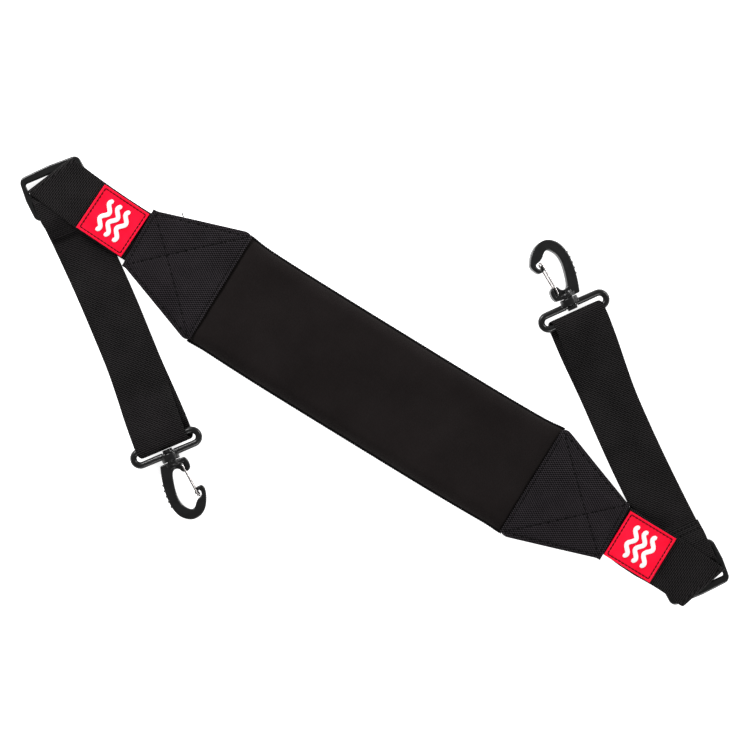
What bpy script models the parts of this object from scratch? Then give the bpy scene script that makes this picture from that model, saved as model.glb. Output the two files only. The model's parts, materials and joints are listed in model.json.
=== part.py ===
"""Padded shoulder carry strap: a foam pad with a webbing tail at each end.

Each tail runs through a three-bar slider, doubles back through the eye of a swivel snap hook
and is sewn round the slider's middle bar. The strap lies flat, with each tail folded back
beside the pad. Metres, +Z up, +X along the pad, origin at the middle of the pad's underside.
"""
import math

import bmesh
import bpy
from mathutils import Matrix, Vector

MM = 0.001
GAP = 0.3 * MM

# Webbing
WEB_WIDTH = 38.0 * MM
WEB_THICK = 1.3 * MM
WEB_PITCH = WEB_THICK + GAP
FLOOR_GAP = 0.2 * MM

# Pad
PAD_LENGTH = 261.4 * MM
COVER_HALF_WIDTH = 41.2 * MM
COVER_THICK = 1.0 * MM
FOAM_HALF_WIDTH = 36.0 * MM
FOAM_LENGTH = 257.0 * MM
FOAM_THICK = 5.0 * MM
COVER_LIP = 2.6 * MM
COVER_SHOULDER = 4.8 * MM
BEAD_RADIUS = 0.9 * MM

# End patches: two trapezoid panels sewn over the webbing at each end of the pad
PATCH_LENGTH = 66.1 * MM
PATCH_WIDE = 43.6 * MM
PATCH_NARROW = 21.8 * MM
PATCH_MID = (3.9 * MM, 5.2 * MM)
PATCH_LIFT = (3.3 * MM, 1.45 * MM)
PATCH_EDGE_LIFT = 0.65 * MM
INSERT_Z = PATCH_MID[1]

# Three-bar slider
SLIDER_WIDTH = 46.0 * MM
SLIDER_LENGTH = 33.5 * MM
SLIDER_THICK = 3.2 * MM
BAR_WIDTH = 5.6 * MM
RAIL_WIDTH = 3.5 * MM
SLIDER_CORNER = 5.0 * MM
SLIDER_BOW = 0.8 * MM
EDGE_ROUND = 1.1 * MM
SLIDER_Z = FLOOR_GAP + 2 * WEB_PITCH + SLIDER_THICK / 2
SLOT_EXIT = SLIDER_Z - 0.9 * MM

# Swivel eye: a stadium ring with a boss that holds the hook's stem
EYE_SPAN = 49.2 * MM
EYE_SPACING = 9.8 * MM
EYE_RADIUS = 2.5 * MM
BOSS_RADIUS = 6.5 * MM
BOSS_START = 9.2 * MM
BOSS_END = 14.85 * MM
SWIVEL_Z = BOSS_RADIUS + FLOOR_GAP

# Snap hook, measured along and across its swivel axis
STEM_RADIUS = 3.0 * MM
HEAD_RADIUS = 4.0 * MM
HEAD_START = 6.1 * MM
COLLAR_RADIUS = 6.0 * MM
COLLAR_END = 17.7 * MM
NECK_RADII = (5.0 * MM, 4.6 * MM)
HOOK_BASE = 20.5 * MM
HOOK_THICK = 6.6 * MM
HOOK_ROUND = 1.0 * MM
TOOTH_COUNT = 5
TOOTH_PITCH = 4.0 * MM
WIRE_RADIUS = 0.62 * MM
WIRE_LEVEL = 2.45 * MM
WEB_UNDER_WIRE = 3.2 * MM
GATE_PIVOT = (-5.8 * MM, 0.0)
GATE_TIP = (-8.4 * MM, 24.3 * MM)
GATE_SPLAY = 0.55 * MM

# The hook's outlines, in millimetres across its axis and beyond its base: smooth runs that
# meet at corners. The limb goes up, over and down to the nose, then back inside to the block.
LIMB_RUNS = [
    [(9.0, -5.2), (11.6, 4.5), (13.0, 15.0), (12.6, 25.0), (9.6, 32.8), (3.6, 37.7), (-3.2, 38.0),
     (-8.9, 34.2), (-12.6, 27.6), (-14.2, 21.6), (-13.3, 18.6), (-11.0, 17.6)],
    [(-9.7, 19.8), (-10.7, 22.2), (-10.3, 24.2), (-9.0, 25.3), (-7.2, 25.9), (-5.2, 27.4), (-3.0, 30.1),
     (-0.6, 31.2), (2.0, 29.8), (4.9, 25.5), (5.9, 20.0), (5.4, 14.0), (4.0, 7.0), (2.4, 2.4),
     (0.0, 0.9), (-2.6, 1.8), (-4.0, 4.2), (-6.2, 5.3), (-9.0, 4.9), (-10.7, 2.8), (-10.8, -1.5),
     (-9.4, -4.9)],
]
BARB_RUNS = [
    [(-12.2, 19.0), (-10.6, 18.0), (-8.6, 18.4), (-6.9, 19.9), (-6.1, 21.8), (-7.3, 23.0),
     (-8.6, 21.9), (-9.4, 20.7), (-12.2, 21.5)],
]

# How far each hook is turned on its swivel; a positive turn raises the side with the gate
HOOK_TURN = {"left": 0.0, "right": math.radians(12.0)}

# Where the tail folds back over the slider: slant of the fold line, its distance behind the
# slider's middle, and how far the webbing creeps sideways on its way up to it
FOLD_RADIUS = 2.4 * MM
FOLDS = {
    "left": (math.radians(14.6), 11.3 * MM, -1.2 * MM),
    "right": (math.radians(17.4), 14.4 * MM, -3.2 * MM),
}

# Run of webbing from the fold to the patch, as fractions of its length
MOUTH_Y = {"left": 0.8 * MM, "right": 0.3 * MM}
SLANT_END = 0.3
PLATEAU_END = 0.46
PLATEAU_SOFT = 0.10

# Label
LABEL_LENGTH = 37.8 * MM
LABEL_WIDTH = 36.1 * MM
LABEL_THICK = 1.3 * MM
LABEL_CENTRE = 217.8 * MM
WAVE_THICK = 0.5 * MM
WAVE_SPAN = 24.0 * MM
WAVE_HEIGHT = 1.9 * MM
WAVE_STROKE = 3.2 * MM
WAVE_PITCH = 7.0 * MM
WAVE_STEPS = 32

# Each end: sign along X, slider centre, heading of the doubled webbing, slider to eye centre
SIDES = {
    "left": (-1, (-263.2 * MM, 0.0 * MM), math.radians(-35.6), 197.7 * MM),
    "right": (1, (258.3 * MM, 3.9 * MM), math.radians(145.9), 201.5 * MM),
}

COLOURS = {
    "neoprene": ((0.014, 0.013, 0.013), 0.85, 0.0),
    "foam": ((0.05, 0.05, 0.055), 0.95, 0.0),
    "stitching": ((0.01, 0.01, 0.011), 0.8, 0.0),
    "patch_fabric": ((0.02, 0.019, 0.023), 0.8, 0.0),
    "webbing": ((0.012, 0.011, 0.011), 0.75, 0.0),
    "label_rubber": ((0.85, 0.012, 0.045), 0.45, 0.0),
    "emblem_white": ((0.9, 0.9, 0.9), 0.5, 0.0),
    "moulded_plastic": ((0.022, 0.022, 0.024), 0.38, 0.0),
    "gate_wire": ((0.75, 0.75, 0.76), 0.25, 1.0),
}


# ---------------------------------------------------------------- scene helpers

def clear_scene():
    for obj in list(bpy.data.objects):
        bpy.data.objects.remove(obj, do_unlink=True)


def new_collection(name):
    collection = bpy.data.collections.new(name)
    bpy.context.scene.collection.children.link(collection)
    return collection


def make_materials():
    materials = {}
    for name, (colour, roughness, metallic) in COLOURS.items():
        material = bpy.data.materials.new(name)
        material.use_nodes = True
        shader = material.node_tree.nodes["Principled BSDF"]
        shader.inputs["Base Color"].default_value = (*colour, 1.0)
        shader.inputs["Roughness"].default_value = roughness
        shader.inputs["Metallic"].default_value = metallic
        materials[name] = material
    return materials


def add_object(name, data, material):
    obj = bpy.data.objects.new(name, data)
    PARTS.objects.link(obj)
    obj.data.materials.append(MATERIALS[material])
    return obj


def move_to_cutters(obj):
    PARTS.objects.unlink(obj)
    CUTTERS.objects.link(obj)
    obj.hide_render = True
    obj.display_type = "WIRE"


def smooth(obj, degrees=40.0):
    obj.data.shade_smooth()
    obj.data.set_sharp_from_angle(angle=math.radians(degrees))


def mesh_from(obj):
    """Turn a curve object into a mesh object with its caps welded on."""
    graph = bpy.context.evaluated_depsgraph_get()
    mesh = bpy.data.meshes.new_from_object(obj.evaluated_get(graph))
    bm = bmesh.new()
    bm.from_mesh(mesh)
    bmesh.ops.remove_doubles(bm, verts=bm.verts, dist=0.01 * MM)
    bm.to_mesh(mesh)
    bm.free()
    name = obj.name
    matrix = obj.matrix_world.copy()
    bpy.data.objects.remove(obj, do_unlink=True)
    solid = bpy.data.objects.new(name, mesh)
    solid.matrix_world = matrix
    PARTS.objects.link(solid)
    return solid


def boolean(obj, cutter, operation):
    modifier = obj.modifiers.new(cutter.name, "BOOLEAN")
    modifier.operation = operation
    modifier.object = cutter
    modifier.solver = "EXACT"
    move_to_cutters(cutter)


# ---------------------------------------------------------------- shape helpers

def rounded(corners, step=math.radians(20)):
    """Points along straight runs whose corners (across, up, radius) are turned on arcs."""
    points = [Vector(corners[0][:2])]
    for before, (x, y, radius), after in zip(corners, corners[1:], corners[2:]):
        corner = Vector((x, y))
        back = (Vector(before[:2]) - corner).normalized()
        ahead = (Vector(after[:2]) - corner).normalized()
        half = back.angle(ahead) / 2
        centre = corner + (back + ahead).normalized() * radius / math.sin(half)
        start = corner + back * radius / math.tan(half) - centre
        turn = math.pi - 2 * half
        if back.x * ahead.y - back.y * ahead.x > 0:
            turn = -turn
        count = max(1, math.ceil(abs(turn) / step))
        for k in range(count + 1):
            spoke = start.copy()
            spoke.rotate(Matrix.Rotation(turn * k / count, 2))
            points.append(centre + spoke)
    points.append(Vector(corners[-1][:2]))
    return points


def sheet(name, rows, thickness, material):
    """A sheet through rows of points, thickened both ways from its middle surface."""
    along = len(rows) - 1
    across = len(rows[0]) - 1
    mesh = bpy.data.meshes.new(name)
    bm = bmesh.new()
    bmesh.ops.create_grid(bm, x_segments=along, y_segments=across, size=0.5)
    for vertex in bm.verts:
        i = round((vertex.co.x + 0.5) * along)
        j = round((vertex.co.y + 0.5) * across)
        vertex.co = rows[i][j]
    bm.to_mesh(mesh)
    bm.free()
    obj = add_object(name, mesh, material)
    solidify = obj.modifiers.new("thickness", "SOLIDIFY")
    solidify.thickness = thickness
    solidify.offset = 0.0
    solidify.use_even_offset = True
    smooth(obj)
    return obj


def box(name, size, centre, material, bevel=0.0, segments=2):
    mesh = bpy.data.meshes.new(name)
    bm = bmesh.new()
    bmesh.ops.create_cube(bm, size=1.0)
    bmesh.ops.scale(bm, vec=size, verts=bm.verts)
    bmesh.ops.translate(bm, vec=centre, verts=bm.verts)
    bm.to_mesh(mesh)
    bm.free()
    obj = add_object(name, mesh, material)
    if bevel:
        modifier = obj.modifiers.new("rounding", "BEVEL")
        modifier.width = bevel
        modifier.segments = segments
    return obj


def rod(name, radii, start, end, material, sides=32):
    """A rod or cone along local +X, from start to end."""
    mesh = bpy.data.meshes.new(name)
    bm = bmesh.new()
    turn = Matrix.Rotation(math.pi / 2, 4, "Y")
    place = Matrix.Translation(((start + end) / 2, 0, 0)) @ turn
    bmesh.ops.create_cone(bm, cap_ends=True, segments=sides, radius1=radii[0],
                          radius2=radii[1], depth=end - start, matrix=place)
    bm.to_mesh(mesh)
    bm.free()
    return add_object(name, mesh, material)


def tube(name, points, radius, material, cyclic=False, resolution=2, radii=None):
    """A round wire through the points; radii scale its thickness point by point."""
    curve = bpy.data.curves.new(name, "CURVE")
    curve.dimensions = "3D"
    curve.bevel_depth = radius
    curve.bevel_resolution = resolution
    curve.use_fill_caps = not cyclic
    spline = curve.splines.new("POLY")
    spline.points.add(len(points) - 1)
    spline.use_cyclic_u = cyclic
    for k, (target, point) in enumerate(zip(spline.points, points)):
        target.co = (*point, 1.0)
        target.radius = radii[k] if radii else 1.0
    return add_object(name, curve, material)


def plate(name, outlines, thickness, edge, material):
    """A flat plate with holes from closed outlines, with rounded edges."""
    curve = bpy.data.curves.new(name, "CURVE")
    curve.dimensions = "2D"
    curve.fill_mode = "BOTH"
    curve.extrude = thickness / 2 - edge
    curve.bevel_depth = edge
    curve.bevel_resolution = 2
    curve.offset = -edge
    for outline in outlines:
        spline = curve.splines.new("POLY")
        spline.points.add(len(outline) - 1)
        spline.use_cyclic_u = True
        for target, point in zip(spline.points, outline):
            target.co = (point[0], point[1], 0.0, 1.0)
    return add_object(name, curve, material)


def smooth_path(knots, count):
    """Points of a Catmull-Rom spline through knots of any dimension."""
    ends = [[2 * a - b for a, b in zip(knots[0], knots[1])]]
    tail = [[2 * a - b for a, b in zip(knots[-1], knots[-2])]]
    knots = ends + [list(knot) for knot in knots] + tail
    points = []
    for k in range(1, len(knots) - 2):
        quad = list(zip(knots[k - 1], knots[k], knots[k + 1], knots[k + 2]))
        for step in range(count):
            t = step / count
            points.append([catmull(*values, t) for values in quad])
    points.append(knots[-2])
    return points


def catmull(a, b, c, d, t):
    return 0.5 * (2 * b + (c - a) * t + (2 * a - 5 * b + 4 * c - d) * t ** 2
                  + (3 * b - a - 3 * c + d) * t ** 3)


def bezier(a, b, c, d, t):
    u = 1 - t
    return a * u ** 3 + 3 * b * u * u * t + 3 * c * u * t * t + d * t ** 3


def ease(t):
    t = min(1.0, max(0.0, t))
    return t * t * (3 - 2 * t)


# ---------------------------------------------------------------- pad

def make_pad():
    box("bottom_cover", (PAD_LENGTH, 2 * COVER_HALF_WIDTH, COVER_THICK),
        (0, 0, COVER_THICK / 2), "neoprene")
    foam_z = COVER_THICK + GAP + FOAM_THICK / 2
    box("foam_core", (FOAM_LENGTH, 2 * FOAM_HALF_WIDTH, FOAM_THICK),
        (0, 0, foam_z), "foam", bevel=2.4 * MM, segments=3)

    low = COVER_THICK * 1.5 + GAP
    high = COVER_THICK * 1.5 + 2 * GAP + FOAM_THICK
    half = COVER_HALF_WIDTH
    lip, shoulder = half - COVER_LIP, half - COVER_SHOULDER
    profile = rounded([(-half, low, 0), (-lip, low, 1.2 * MM), (-shoulder, high, 3.0 * MM),
                       (shoulder, high, 3.0 * MM), (lip, low, 1.2 * MM), (half, low, 0)])
    steps = 8
    rows = []
    for k in range(steps + 1):
        x = PAD_LENGTH * (k / steps - 0.5)
        rows.append([Vector((x, y, z)) for y, z in profile])
    sheet("top_cover", rows, COVER_THICK, "neoprene")

    for name, side in (("front_edge_seam", -1), ("back_edge_seam", 1)):
        y = side * (COVER_HALF_WIDTH + GAP + BEAD_RADIUS)
        ends = [(-PAD_LENGTH / 2, y, low), (PAD_LENGTH / 2, y, low)]
        tube(name, ends, BEAD_RADIUS, "stitching", resolution=2)


def make_patch(side_name, sign):
    """Upper and lower panel, apart over the webbing and closing towards the side seams."""
    along = 6
    across = 10
    flatness = 12
    for layer, up in (("upper", 1), ("lower", -1)):
        rows = []
        for i in range(along + 1):
            t = i / along
            x = sign * (PAD_LENGTH / 2 + GAP + PATCH_LENGTH * t)
            half = PATCH_WIDE + (PATCH_NARROW - PATCH_WIDE) * t
            mid = PATCH_MID[0] + (PATCH_MID[1] - PATCH_MID[0]) * t
            lift = PATCH_LIFT[0] + (PATCH_LIFT[1] - PATCH_LIFT[0]) * t
            row = []
            for j in range(across + 1):
                v = math.sin(math.pi / 2 * (2 * j / across - 1))
                rise = PATCH_EDGE_LIFT + (lift - PATCH_EDGE_LIFT) * (1 - abs(v) ** flatness)
                row.append(Vector((x, half * v, mid + up * rise)))
            rows.append(row)
        sheet(f"{side_name}_{layer}_patch", rows, COVER_THICK, "patch_fabric")


# ---------------------------------------------------------------- webbing

class Tail:
    """Positions along one webbing tail: along, across and up from its slider's middle."""

    def __init__(self, side_name):
        self.name = side_name
        self.sign, centre, self.heading, reach = SIDES[side_name]
        self.origin = Vector((*centre, 0.0))
        self.forward = Vector((math.cos(self.heading), math.sin(self.heading), 0.0))
        self.across = Vector((-self.forward.y, self.forward.x, 0.0))
        self.eye_bar = reach - EYE_SPACING / 2
        self.fold_angle, self.fold_reach, self.fold_creep = FOLDS[side_name]

    def at(self, along, across, up):
        return self.origin + self.forward * along + self.across * across + Vector((0, 0, up))

    def matrix(self, along, up):
        """Local +X along the webbing, +Y across it."""
        place = Matrix.Translation(self.at(along, 0.0, up))
        return place @ Matrix.Rotation(self.heading, 4, "Z")

    def hook_matrix(self):
        """From the eye's bar out along the swivel, turned with the hook."""
        return self.matrix(self.eye_bar, SWIVEL_Z) @ Matrix.Rotation(HOOK_TURN[self.name], 4, "X")

    def level(self, layer):
        """Middle height of a webbing layer that lies over a bar, counted from the bar."""
        top = SLIDER_Z + SLIDER_THICK / 2
        return top + GAP + WEB_THICK / 2 + (layer - 1) * WEB_PITCH


def strip(tail, name, route):
    """Webbing that bends only up and down, along a route of (along, up) points."""
    half = WEB_WIDTH / 2
    rows = [[tail.at(s, -half, z), tail.at(s, half, z)] for s, z in route]
    return sheet(f"{tail.name}_{name}", rows, WEB_THICK, "webbing")


def make_doubled_webbing(tail):
    """The webbing between the slider and the eye, as the pieces that move apart."""
    floor = FLOOR_GAP + WEB_THICK / 2
    second = floor + WEB_PITCH
    one, two, three = (tail.level(k) for k in (1, 2, 3))
    clear = BAR_WIDTH / 2 + GAP + WEB_THICK / 2
    outer = clear + WEB_PITCH
    bend = WEB_THICK / 2 + 0.6 * MM
    ramp_top = 18.0 * MM
    ramp_end = 31.0 * MM
    slope_shift = WEB_PITCH * 0.24

    lower_start = ramp_end + 1.0 * MM
    passing = rounded([(lower_start, floor, 0), (ramp_end - 2 * MM, floor, 2 * MM),
                       (ramp_top, one, 3 * MM), (outer, one, bend), (outer, floor, bend),
                       (-outer, floor, bend), (-outer, SLOT_EXIT, 0)])
    strip(tail, "slider_pass_webbing", passing)

    loop_end = 37.0 * MM
    sewn_end = 32.0 * MM
    slope = (two - second) / (loop_end - 2 * MM - ramp_top - slope_shift)
    sewn_up = three - (sewn_end - ramp_top - 2 * slope_shift) * slope
    loop = rounded([(loop_end, second, 0), (loop_end - 2 * MM, second, 1 * MM),
                    (ramp_top + slope_shift, two, 3 * MM), (clear, two, bend),
                    (clear, second, bend), (-clear, second, bend), (-clear, one, bend),
                    (0.6 * MM, one, 1.2 * MM), (4.6 * MM, three, 1.2 * MM),
                    (ramp_top + 2 * slope_shift, three, 4 * MM), (sewn_end, sewn_up, 0)])
    strip(tail, "sewn_loop_webbing", loop)

    bar = tail.eye_bar
    turn = EYE_RADIUS + GAP + WEB_THICK / 2
    over, under = SWIVEL_Z + turn, SWIVEL_Z - turn
    level_from = bar - 9 * MM
    joint = bar - 5 * MM
    upper = [(loop_end + GAP, second, 0), (bar - 36 * MM, second, 20 * MM),
             (level_from, over, 20 * MM), (joint - GAP, over, 0)]
    strip(tail, "upper_strand_webbing", rounded(upper, math.radians(6)))
    lower = [(lower_start + GAP, floor, 0), (bar - 30 * MM, floor, 20 * MM),
             (level_from, under, 20 * MM), (joint - GAP, under, 0)]
    strip(tail, "lower_strand_webbing", rounded(lower, math.radians(4)))

    steps = 12
    wrap = [(joint, over)]
    for k in range(steps + 1):
        angle = math.pi / 2 - math.pi * k / steps
        wrap.append((bar + turn * math.cos(angle), SWIVEL_Z + turn * math.sin(angle)))
    wrap.append((joint, under))
    strip(tail, "eye_turn_webbing", wrap)


def fold_point(tail, inward, sideways, up):
    """A point measured square to the fold line and along it."""
    sin, cos = math.sin(tail.fold_angle), math.cos(tail.fold_angle)
    along = -tail.fold_reach + inward * cos - sideways * sin
    return tail.at(along, inward * sin + sideways * cos, up)


def make_fold(tail):
    """The turn where the webbing leaves the slot and folds back over the slider."""
    half = WEB_WIDTH / 2
    slot = -(BAR_WIDTH / 2 + GAP + WEB_THICK / 2 + WEB_PITCH)
    start = SLOT_EXIT + GAP
    top = tail.level(4)
    axis_up = top - FOLD_RADIUS
    cos, tan = math.cos(tail.fold_angle), math.tan(tail.fold_angle)
    axis_in = (FOLD_RADIUS + WEB_THICK / 2) / cos
    shift = FOLD_RADIUS * math.pi / 2 * tan
    creep_start = 0.25
    across = 8
    rise_steps = 10
    roll_steps = 5
    rows = []
    for i in range(rise_steps):
        t = i / rise_steps
        creep = tail.fold_creep * ease((t - creep_start) / (1 - creep_start))
        row = []
        for j in range(across + 1):
            w = half * (2 * j / across - 1) + creep
            outside = -tail.fold_reach - w * tan + axis_in - FOLD_RADIUS
            along = bezier(slot, slot, outside, outside, t)
            up = bezier(start, start + 3.4 * MM, axis_up - 2.2 * MM, axis_up, t)
            row.append(tail.at(along, w, up))
        rows.append(row)
    for i in range(roll_steps + 1):
        angle = math.pi / 2 * i / roll_steps
        inward = (FOLD_RADIUS + WEB_THICK / 2) - FOLD_RADIUS * math.cos(angle)
        up = axis_up + FOLD_RADIUS * math.sin(angle)
        row = []
        for j in range(across + 1):
            w = half * (2 * j / across - 1) + tail.fold_creep
            sideways = w / cos + shift * i / roll_steps
            row.append(fold_point(tail, inward, sideways, up))
        rows.append(row)
    sheet(f"{tail.name}_fold_webbing", rows, WEB_THICK, "webbing")


def pad_run(tail, t):
    """Middle of the webbing and its half-width vector, from the fold (0) to the patch (1)."""
    cos, tan = math.cos(tail.fold_angle), math.tan(tail.fold_angle)
    shift = FOLD_RADIUS * math.pi / 2 * tan + tail.fold_creep / cos
    start = fold_point(tail, FOLD_RADIUS + WEB_THICK / 2 + GAP, shift, tail.level(4))
    heading = tail.heading + 2 * tail.fold_angle
    ahead = Vector((math.cos(heading), math.sin(heading), 0.0))
    inward = Vector((-tail.sign, 0.0, 0.0))
    mouth = Vector((tail.sign * (PAD_LENGTH / 2 + PATCH_LENGTH), MOUTH_Y[tail.name], INSERT_Z))
    handle = (mouth - start).length / 3
    ends = (start, start + ahead * handle, mouth - inward * handle, mouth)
    centre = bezier(*ends, t)
    run = bezier(*ends, t + 0.01) - centre
    square = Vector((-run.y, run.x, 0.0)).normalized()
    slanted = fold_point(tail, 0, 1, 0) - fold_point(tail, 0, 0, 0)
    side = (slanted / cos).lerp(square, ease(t / SLANT_END))
    past = t - PLATEAU_END
    if past < 0:
        drop = 0.0
    elif past < PLATEAU_SOFT:
        drop = past * past / (2 * PLATEAU_SOFT)
    else:
        drop = past - PLATEAU_SOFT / 2
    drop /= 1 - PLATEAU_END - PLATEAU_SOFT / 2
    centre.z = start.z + (INSERT_Z - start.z) * drop
    return centre, side * WEB_WIDTH / 2


def make_pad_run(tail):
    steps = 16
    rows = []
    for i in range(steps + 1):
        centre, side = pad_run(tail, i / steps)
        rows.append([centre - side, centre + side])
    inner = centre.copy()
    inner.x = tail.sign * (PAD_LENGTH / 2 + 3 * MM)
    rows.append([inner - side, inner + side])
    sheet(f"{tail.name}_pad_webbing", rows, WEB_THICK, "webbing")


# ---------------------------------------------------------------- hardware

def rounded_outline(half_x, half_y, radius, bow=0.0):
    """A closed rectangle with round corners and sides that bow out a little."""
    outline = []
    steps = 5
    middles = [(0.0, half_y + bow), (-half_x - bow, 0.0), (0.0, -half_y - bow),
               (half_x + bow, 0.0)]
    for corner, (sx, sy) in enumerate([(1, 1), (-1, 1), (-1, -1), (1, -1)]):
        centre = Vector((sx * (half_x - radius), sy * (half_y - radius)))
        for k in range(steps + 1):
            angle = math.pi / 2 * (corner + k / steps)
            outline.append(centre + radius * Vector((math.cos(angle), math.sin(angle))))
        outline.append(Vector(middles[corner]))
    return outline


def make_slider(tail):
    outer = rounded_outline(SLIDER_LENGTH / 2, SLIDER_WIDTH / 2, SLIDER_CORNER, SLIDER_BOW)
    slot = (SLIDER_LENGTH - 3 * BAR_WIDTH) / 2
    slot_half = SLIDER_WIDTH / 2 - RAIL_WIDTH
    slot_corner = 1.2 * MM
    outlines = [outer]
    for side in (-1, 1):
        hole = rounded_outline(slot / 2, slot_half, slot_corner)
        shift = Vector((side * (BAR_WIDTH + slot) / 2, 0.0))
        outlines.append([point + shift for point in hole])
    name = f"{tail.name}_slider"
    slider = mesh_from(plate(name, outlines, SLIDER_THICK, EDGE_ROUND, "moulded_plastic"))
    slider.matrix_world = tail.matrix(0.0, SLIDER_Z)
    smooth(slider, 50)


def make_eye(tail):
    """Stadium ring and boss; local origin on the bar that the webbing turns round."""
    end_radius = EYE_SPACING / 2
    straight = EYE_SPAN / 2 - end_radius
    steps = 10
    path = []
    for side in (1, -1):
        for k in range(steps + 1):
            angle = math.pi * k / steps
            across = side * (straight + end_radius * math.sin(angle))
            path.append((end_radius * (1 + side * math.cos(angle)), across, 0.0))
    material = "moulded_plastic"
    ring = mesh_from(tube(f"{tail.name}_swivel_eye", path, EYE_RADIUS, material, cyclic=True,
                          resolution=4))
    boss = rod(f"{tail.name}_boss", (BOSS_RADIUS, BOSS_RADIUS), BOSS_START, BOSS_END, material)
    edge = boss.modifiers.new("rounding", "BEVEL")
    edge.width = 0.5 * MM
    edge.segments = 2
    pocket_radii = (HEAD_RADIUS + GAP,) * 2
    pocket = rod(f"{tail.name}_pocket", pocket_radii, HEAD_START - 2 * MM, BOSS_START, material)
    bore_radii = (STEM_RADIUS + GAP,) * 2
    bore = rod(f"{tail.name}_bore", bore_radii, HEAD_START, COLLAR_END, material)
    boolean(ring, boss, "UNION")
    boolean(ring, pocket, "DIFFERENCE")
    boolean(ring, bore, "DIFFERENCE")
    place = tail.matrix(tail.eye_bar, SWIVEL_Z)
    for obj in (ring, boss, pocket, bore):
        obj.matrix_world = place
    smooth(ring, 50)
    return ring


def hook_plate(name, runs, thickness, edge):
    """A flat piece of the hook inside smooth runs that meet at corners."""
    outline = []
    for run in runs:
        outline += [(HOOK_BASE + y * MM, -x * MM) for x, y in smooth_path(run, 4)]
    obj = mesh_from(plate(name, [outline], thickness, 0.0, "moulded_plastic"))
    bm = bmesh.new()
    bm.from_mesh(obj.data)
    bmesh.ops.dissolve_limit(bm, angle_limit=math.radians(0.5), verts=bm.verts, edges=bm.edges)
    bm.to_mesh(obj.data)
    bm.free()
    rounding = obj.modifiers.new("rounding", "BEVEL")
    rounding.width = edge
    rounding.segments = 3
    rounding.limit_method = "ANGLE"
    rounding.angle_limit = math.radians(60)
    rounding.use_clamp_overlap = False
    return obj


def hook_box(name, x_range, y_range, thick, bevel):
    """A rounded block of the hook, from its limits across and beyond the base."""
    size = Vector((y_range[1] - y_range[0], x_range[1] - x_range[0], thick))
    middle = Vector((HOOK_BASE + sum(y_range) / 2, -sum(x_range) / 2, 0.0))
    return box(name, size, middle, "moulded_plastic", bevel=bevel, segments=3)


def hook_tooth(name, k):
    """One of the grip teeth on the limb's outer edge, where the edge bulges the most."""
    first = 8.3 * MM
    bulge_at, bulge, curve = 18.0 * MM, 13.05 * MM, 8.5
    y = first + TOOTH_PITCH * k
    x = bulge - curve * (y - bulge_at) ** 2
    return hook_box(name, (x - 2.0 * MM, x + 0.75 * MM), (y - 0.75 * MM, y + 0.75 * MM),
                    4.0 * MM, 0.45 * MM)


def make_hook(tail):
    """Snap hook; local +X is the swivel axis and the gate is on its +Y side."""
    material = "moulded_plastic"
    prefix = f"{tail.name}_hook_"
    hook = hook_plate(f"{tail.name}_snap_hook", LIMB_RUNS, HOOK_THICK, HOOK_ROUND)
    added = [
        hook_plate(prefix + "barb", BARB_RUNS, 2.6 * MM, 0.4 * MM),
        rod(prefix + "stem", (STEM_RADIUS,) * 2, BOSS_START - 1 * MM, HOOK_BASE, material),
        rod(prefix + "head", (HEAD_RADIUS * 0.88, HEAD_RADIUS), HEAD_START, BOSS_START - GAP,
            material),
        rod(prefix + "collar", (COLLAR_RADIUS,) * 2, BOSS_END + GAP, COLLAR_END, material),
        rod(prefix + "neck", NECK_RADII, COLLAR_END - 0.5 * MM, HOOK_BASE - 0.6 * MM, material),
    ]
    added += [hook_tooth(f"{prefix}tooth_{k + 1}", k) for k in range(TOOTH_COUNT)]
    for piece in added:
        boolean(hook, piece, "UNION")

    recess = 3.0 * MM
    cut = []
    for level, up in (("top", 1), ("bottom", -1)):
        slot = hook_box(f"{prefix}{level}_recess", (-8.2 * MM, -1.0 * MM), (-2.0 * MM, 9.0 * MM),
                        recess, 0.0)
        slot.data.transform(Matrix.Translation((0, 0, up * (WEB_UNDER_WIRE + recess) / 2)))
        cut.append(slot)
    pin_radius = WIRE_RADIUS + GAP
    pin_hole = rod(prefix + "pin_hole", (pin_radius,) * 2, -5 * MM, 5 * MM, material, sides=16)
    pin_hole.data.transform(Matrix.Rotation(math.pi / 2, 4, "Y"))
    pin_hole.data.transform(Matrix.Translation((HOOK_BASE, -GATE_PIVOT[0], 0)))
    cut.append(pin_hole)
    for name, turn in (("first", math.pi / 4), ("second", -math.pi / 4)):
        slit = box(f"{prefix}{name}_slit", (4 * MM, 12 * MM, 1.0 * MM), (5.6 * MM, 0, 0), material)
        slit.data.transform(Matrix.Rotation(turn, 4, "X"))
        cut.append(slit)
    for piece in cut:
        boolean(hook, piece, "DIFFERENCE")

    place = tail.hook_matrix()
    for piece in [hook, *added, *cut]:
        piece.matrix_world = place
    smooth(hook)


def make_gate(tail):
    """Sprung wire gate: two legs joined across the nose, with pins into the hook's block."""
    px, py = GATE_PIVOT
    tx, ty = GATE_TIP
    level = WIRE_LEVEL
    pin_end = 0.4 * MM
    corners = [(px, py, pin_end), (px, py, level), (tx + GATE_SPLAY, ty, level),
               (tx - GATE_SPLAY, ty, -level), (px, py, -level), (px, py, -pin_end)]
    points = soften([Vector(corner) for corner in corners], 0.9 * MM)
    shifted = [(y, -(x - px), z) for x, y, z in points]
    gate = tube(f"{tail.name}_wire_gate", shifted, WIRE_RADIUS, "gate_wire", resolution=2)
    local = Matrix.Translation((HOOK_BASE, -px, 0.0))
    gate.matrix_world = tail.hook_matrix() @ local


def soften(corners, radius):
    """Round off the inner corners of a path in space."""
    points = [corners[0]]
    for before, corner, after in zip(corners, corners[1:], corners[2:]):
        start = corner + (before - corner).normalized() * radius
        end = corner + (after - corner).normalized() * radius
        for k in range(5):
            t = k / 4
            points.append(start * (1 - t) ** 2 + corner * 2 * t * (1 - t) + end * t * t)
    points.append(corners[-1])
    return points


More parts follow.
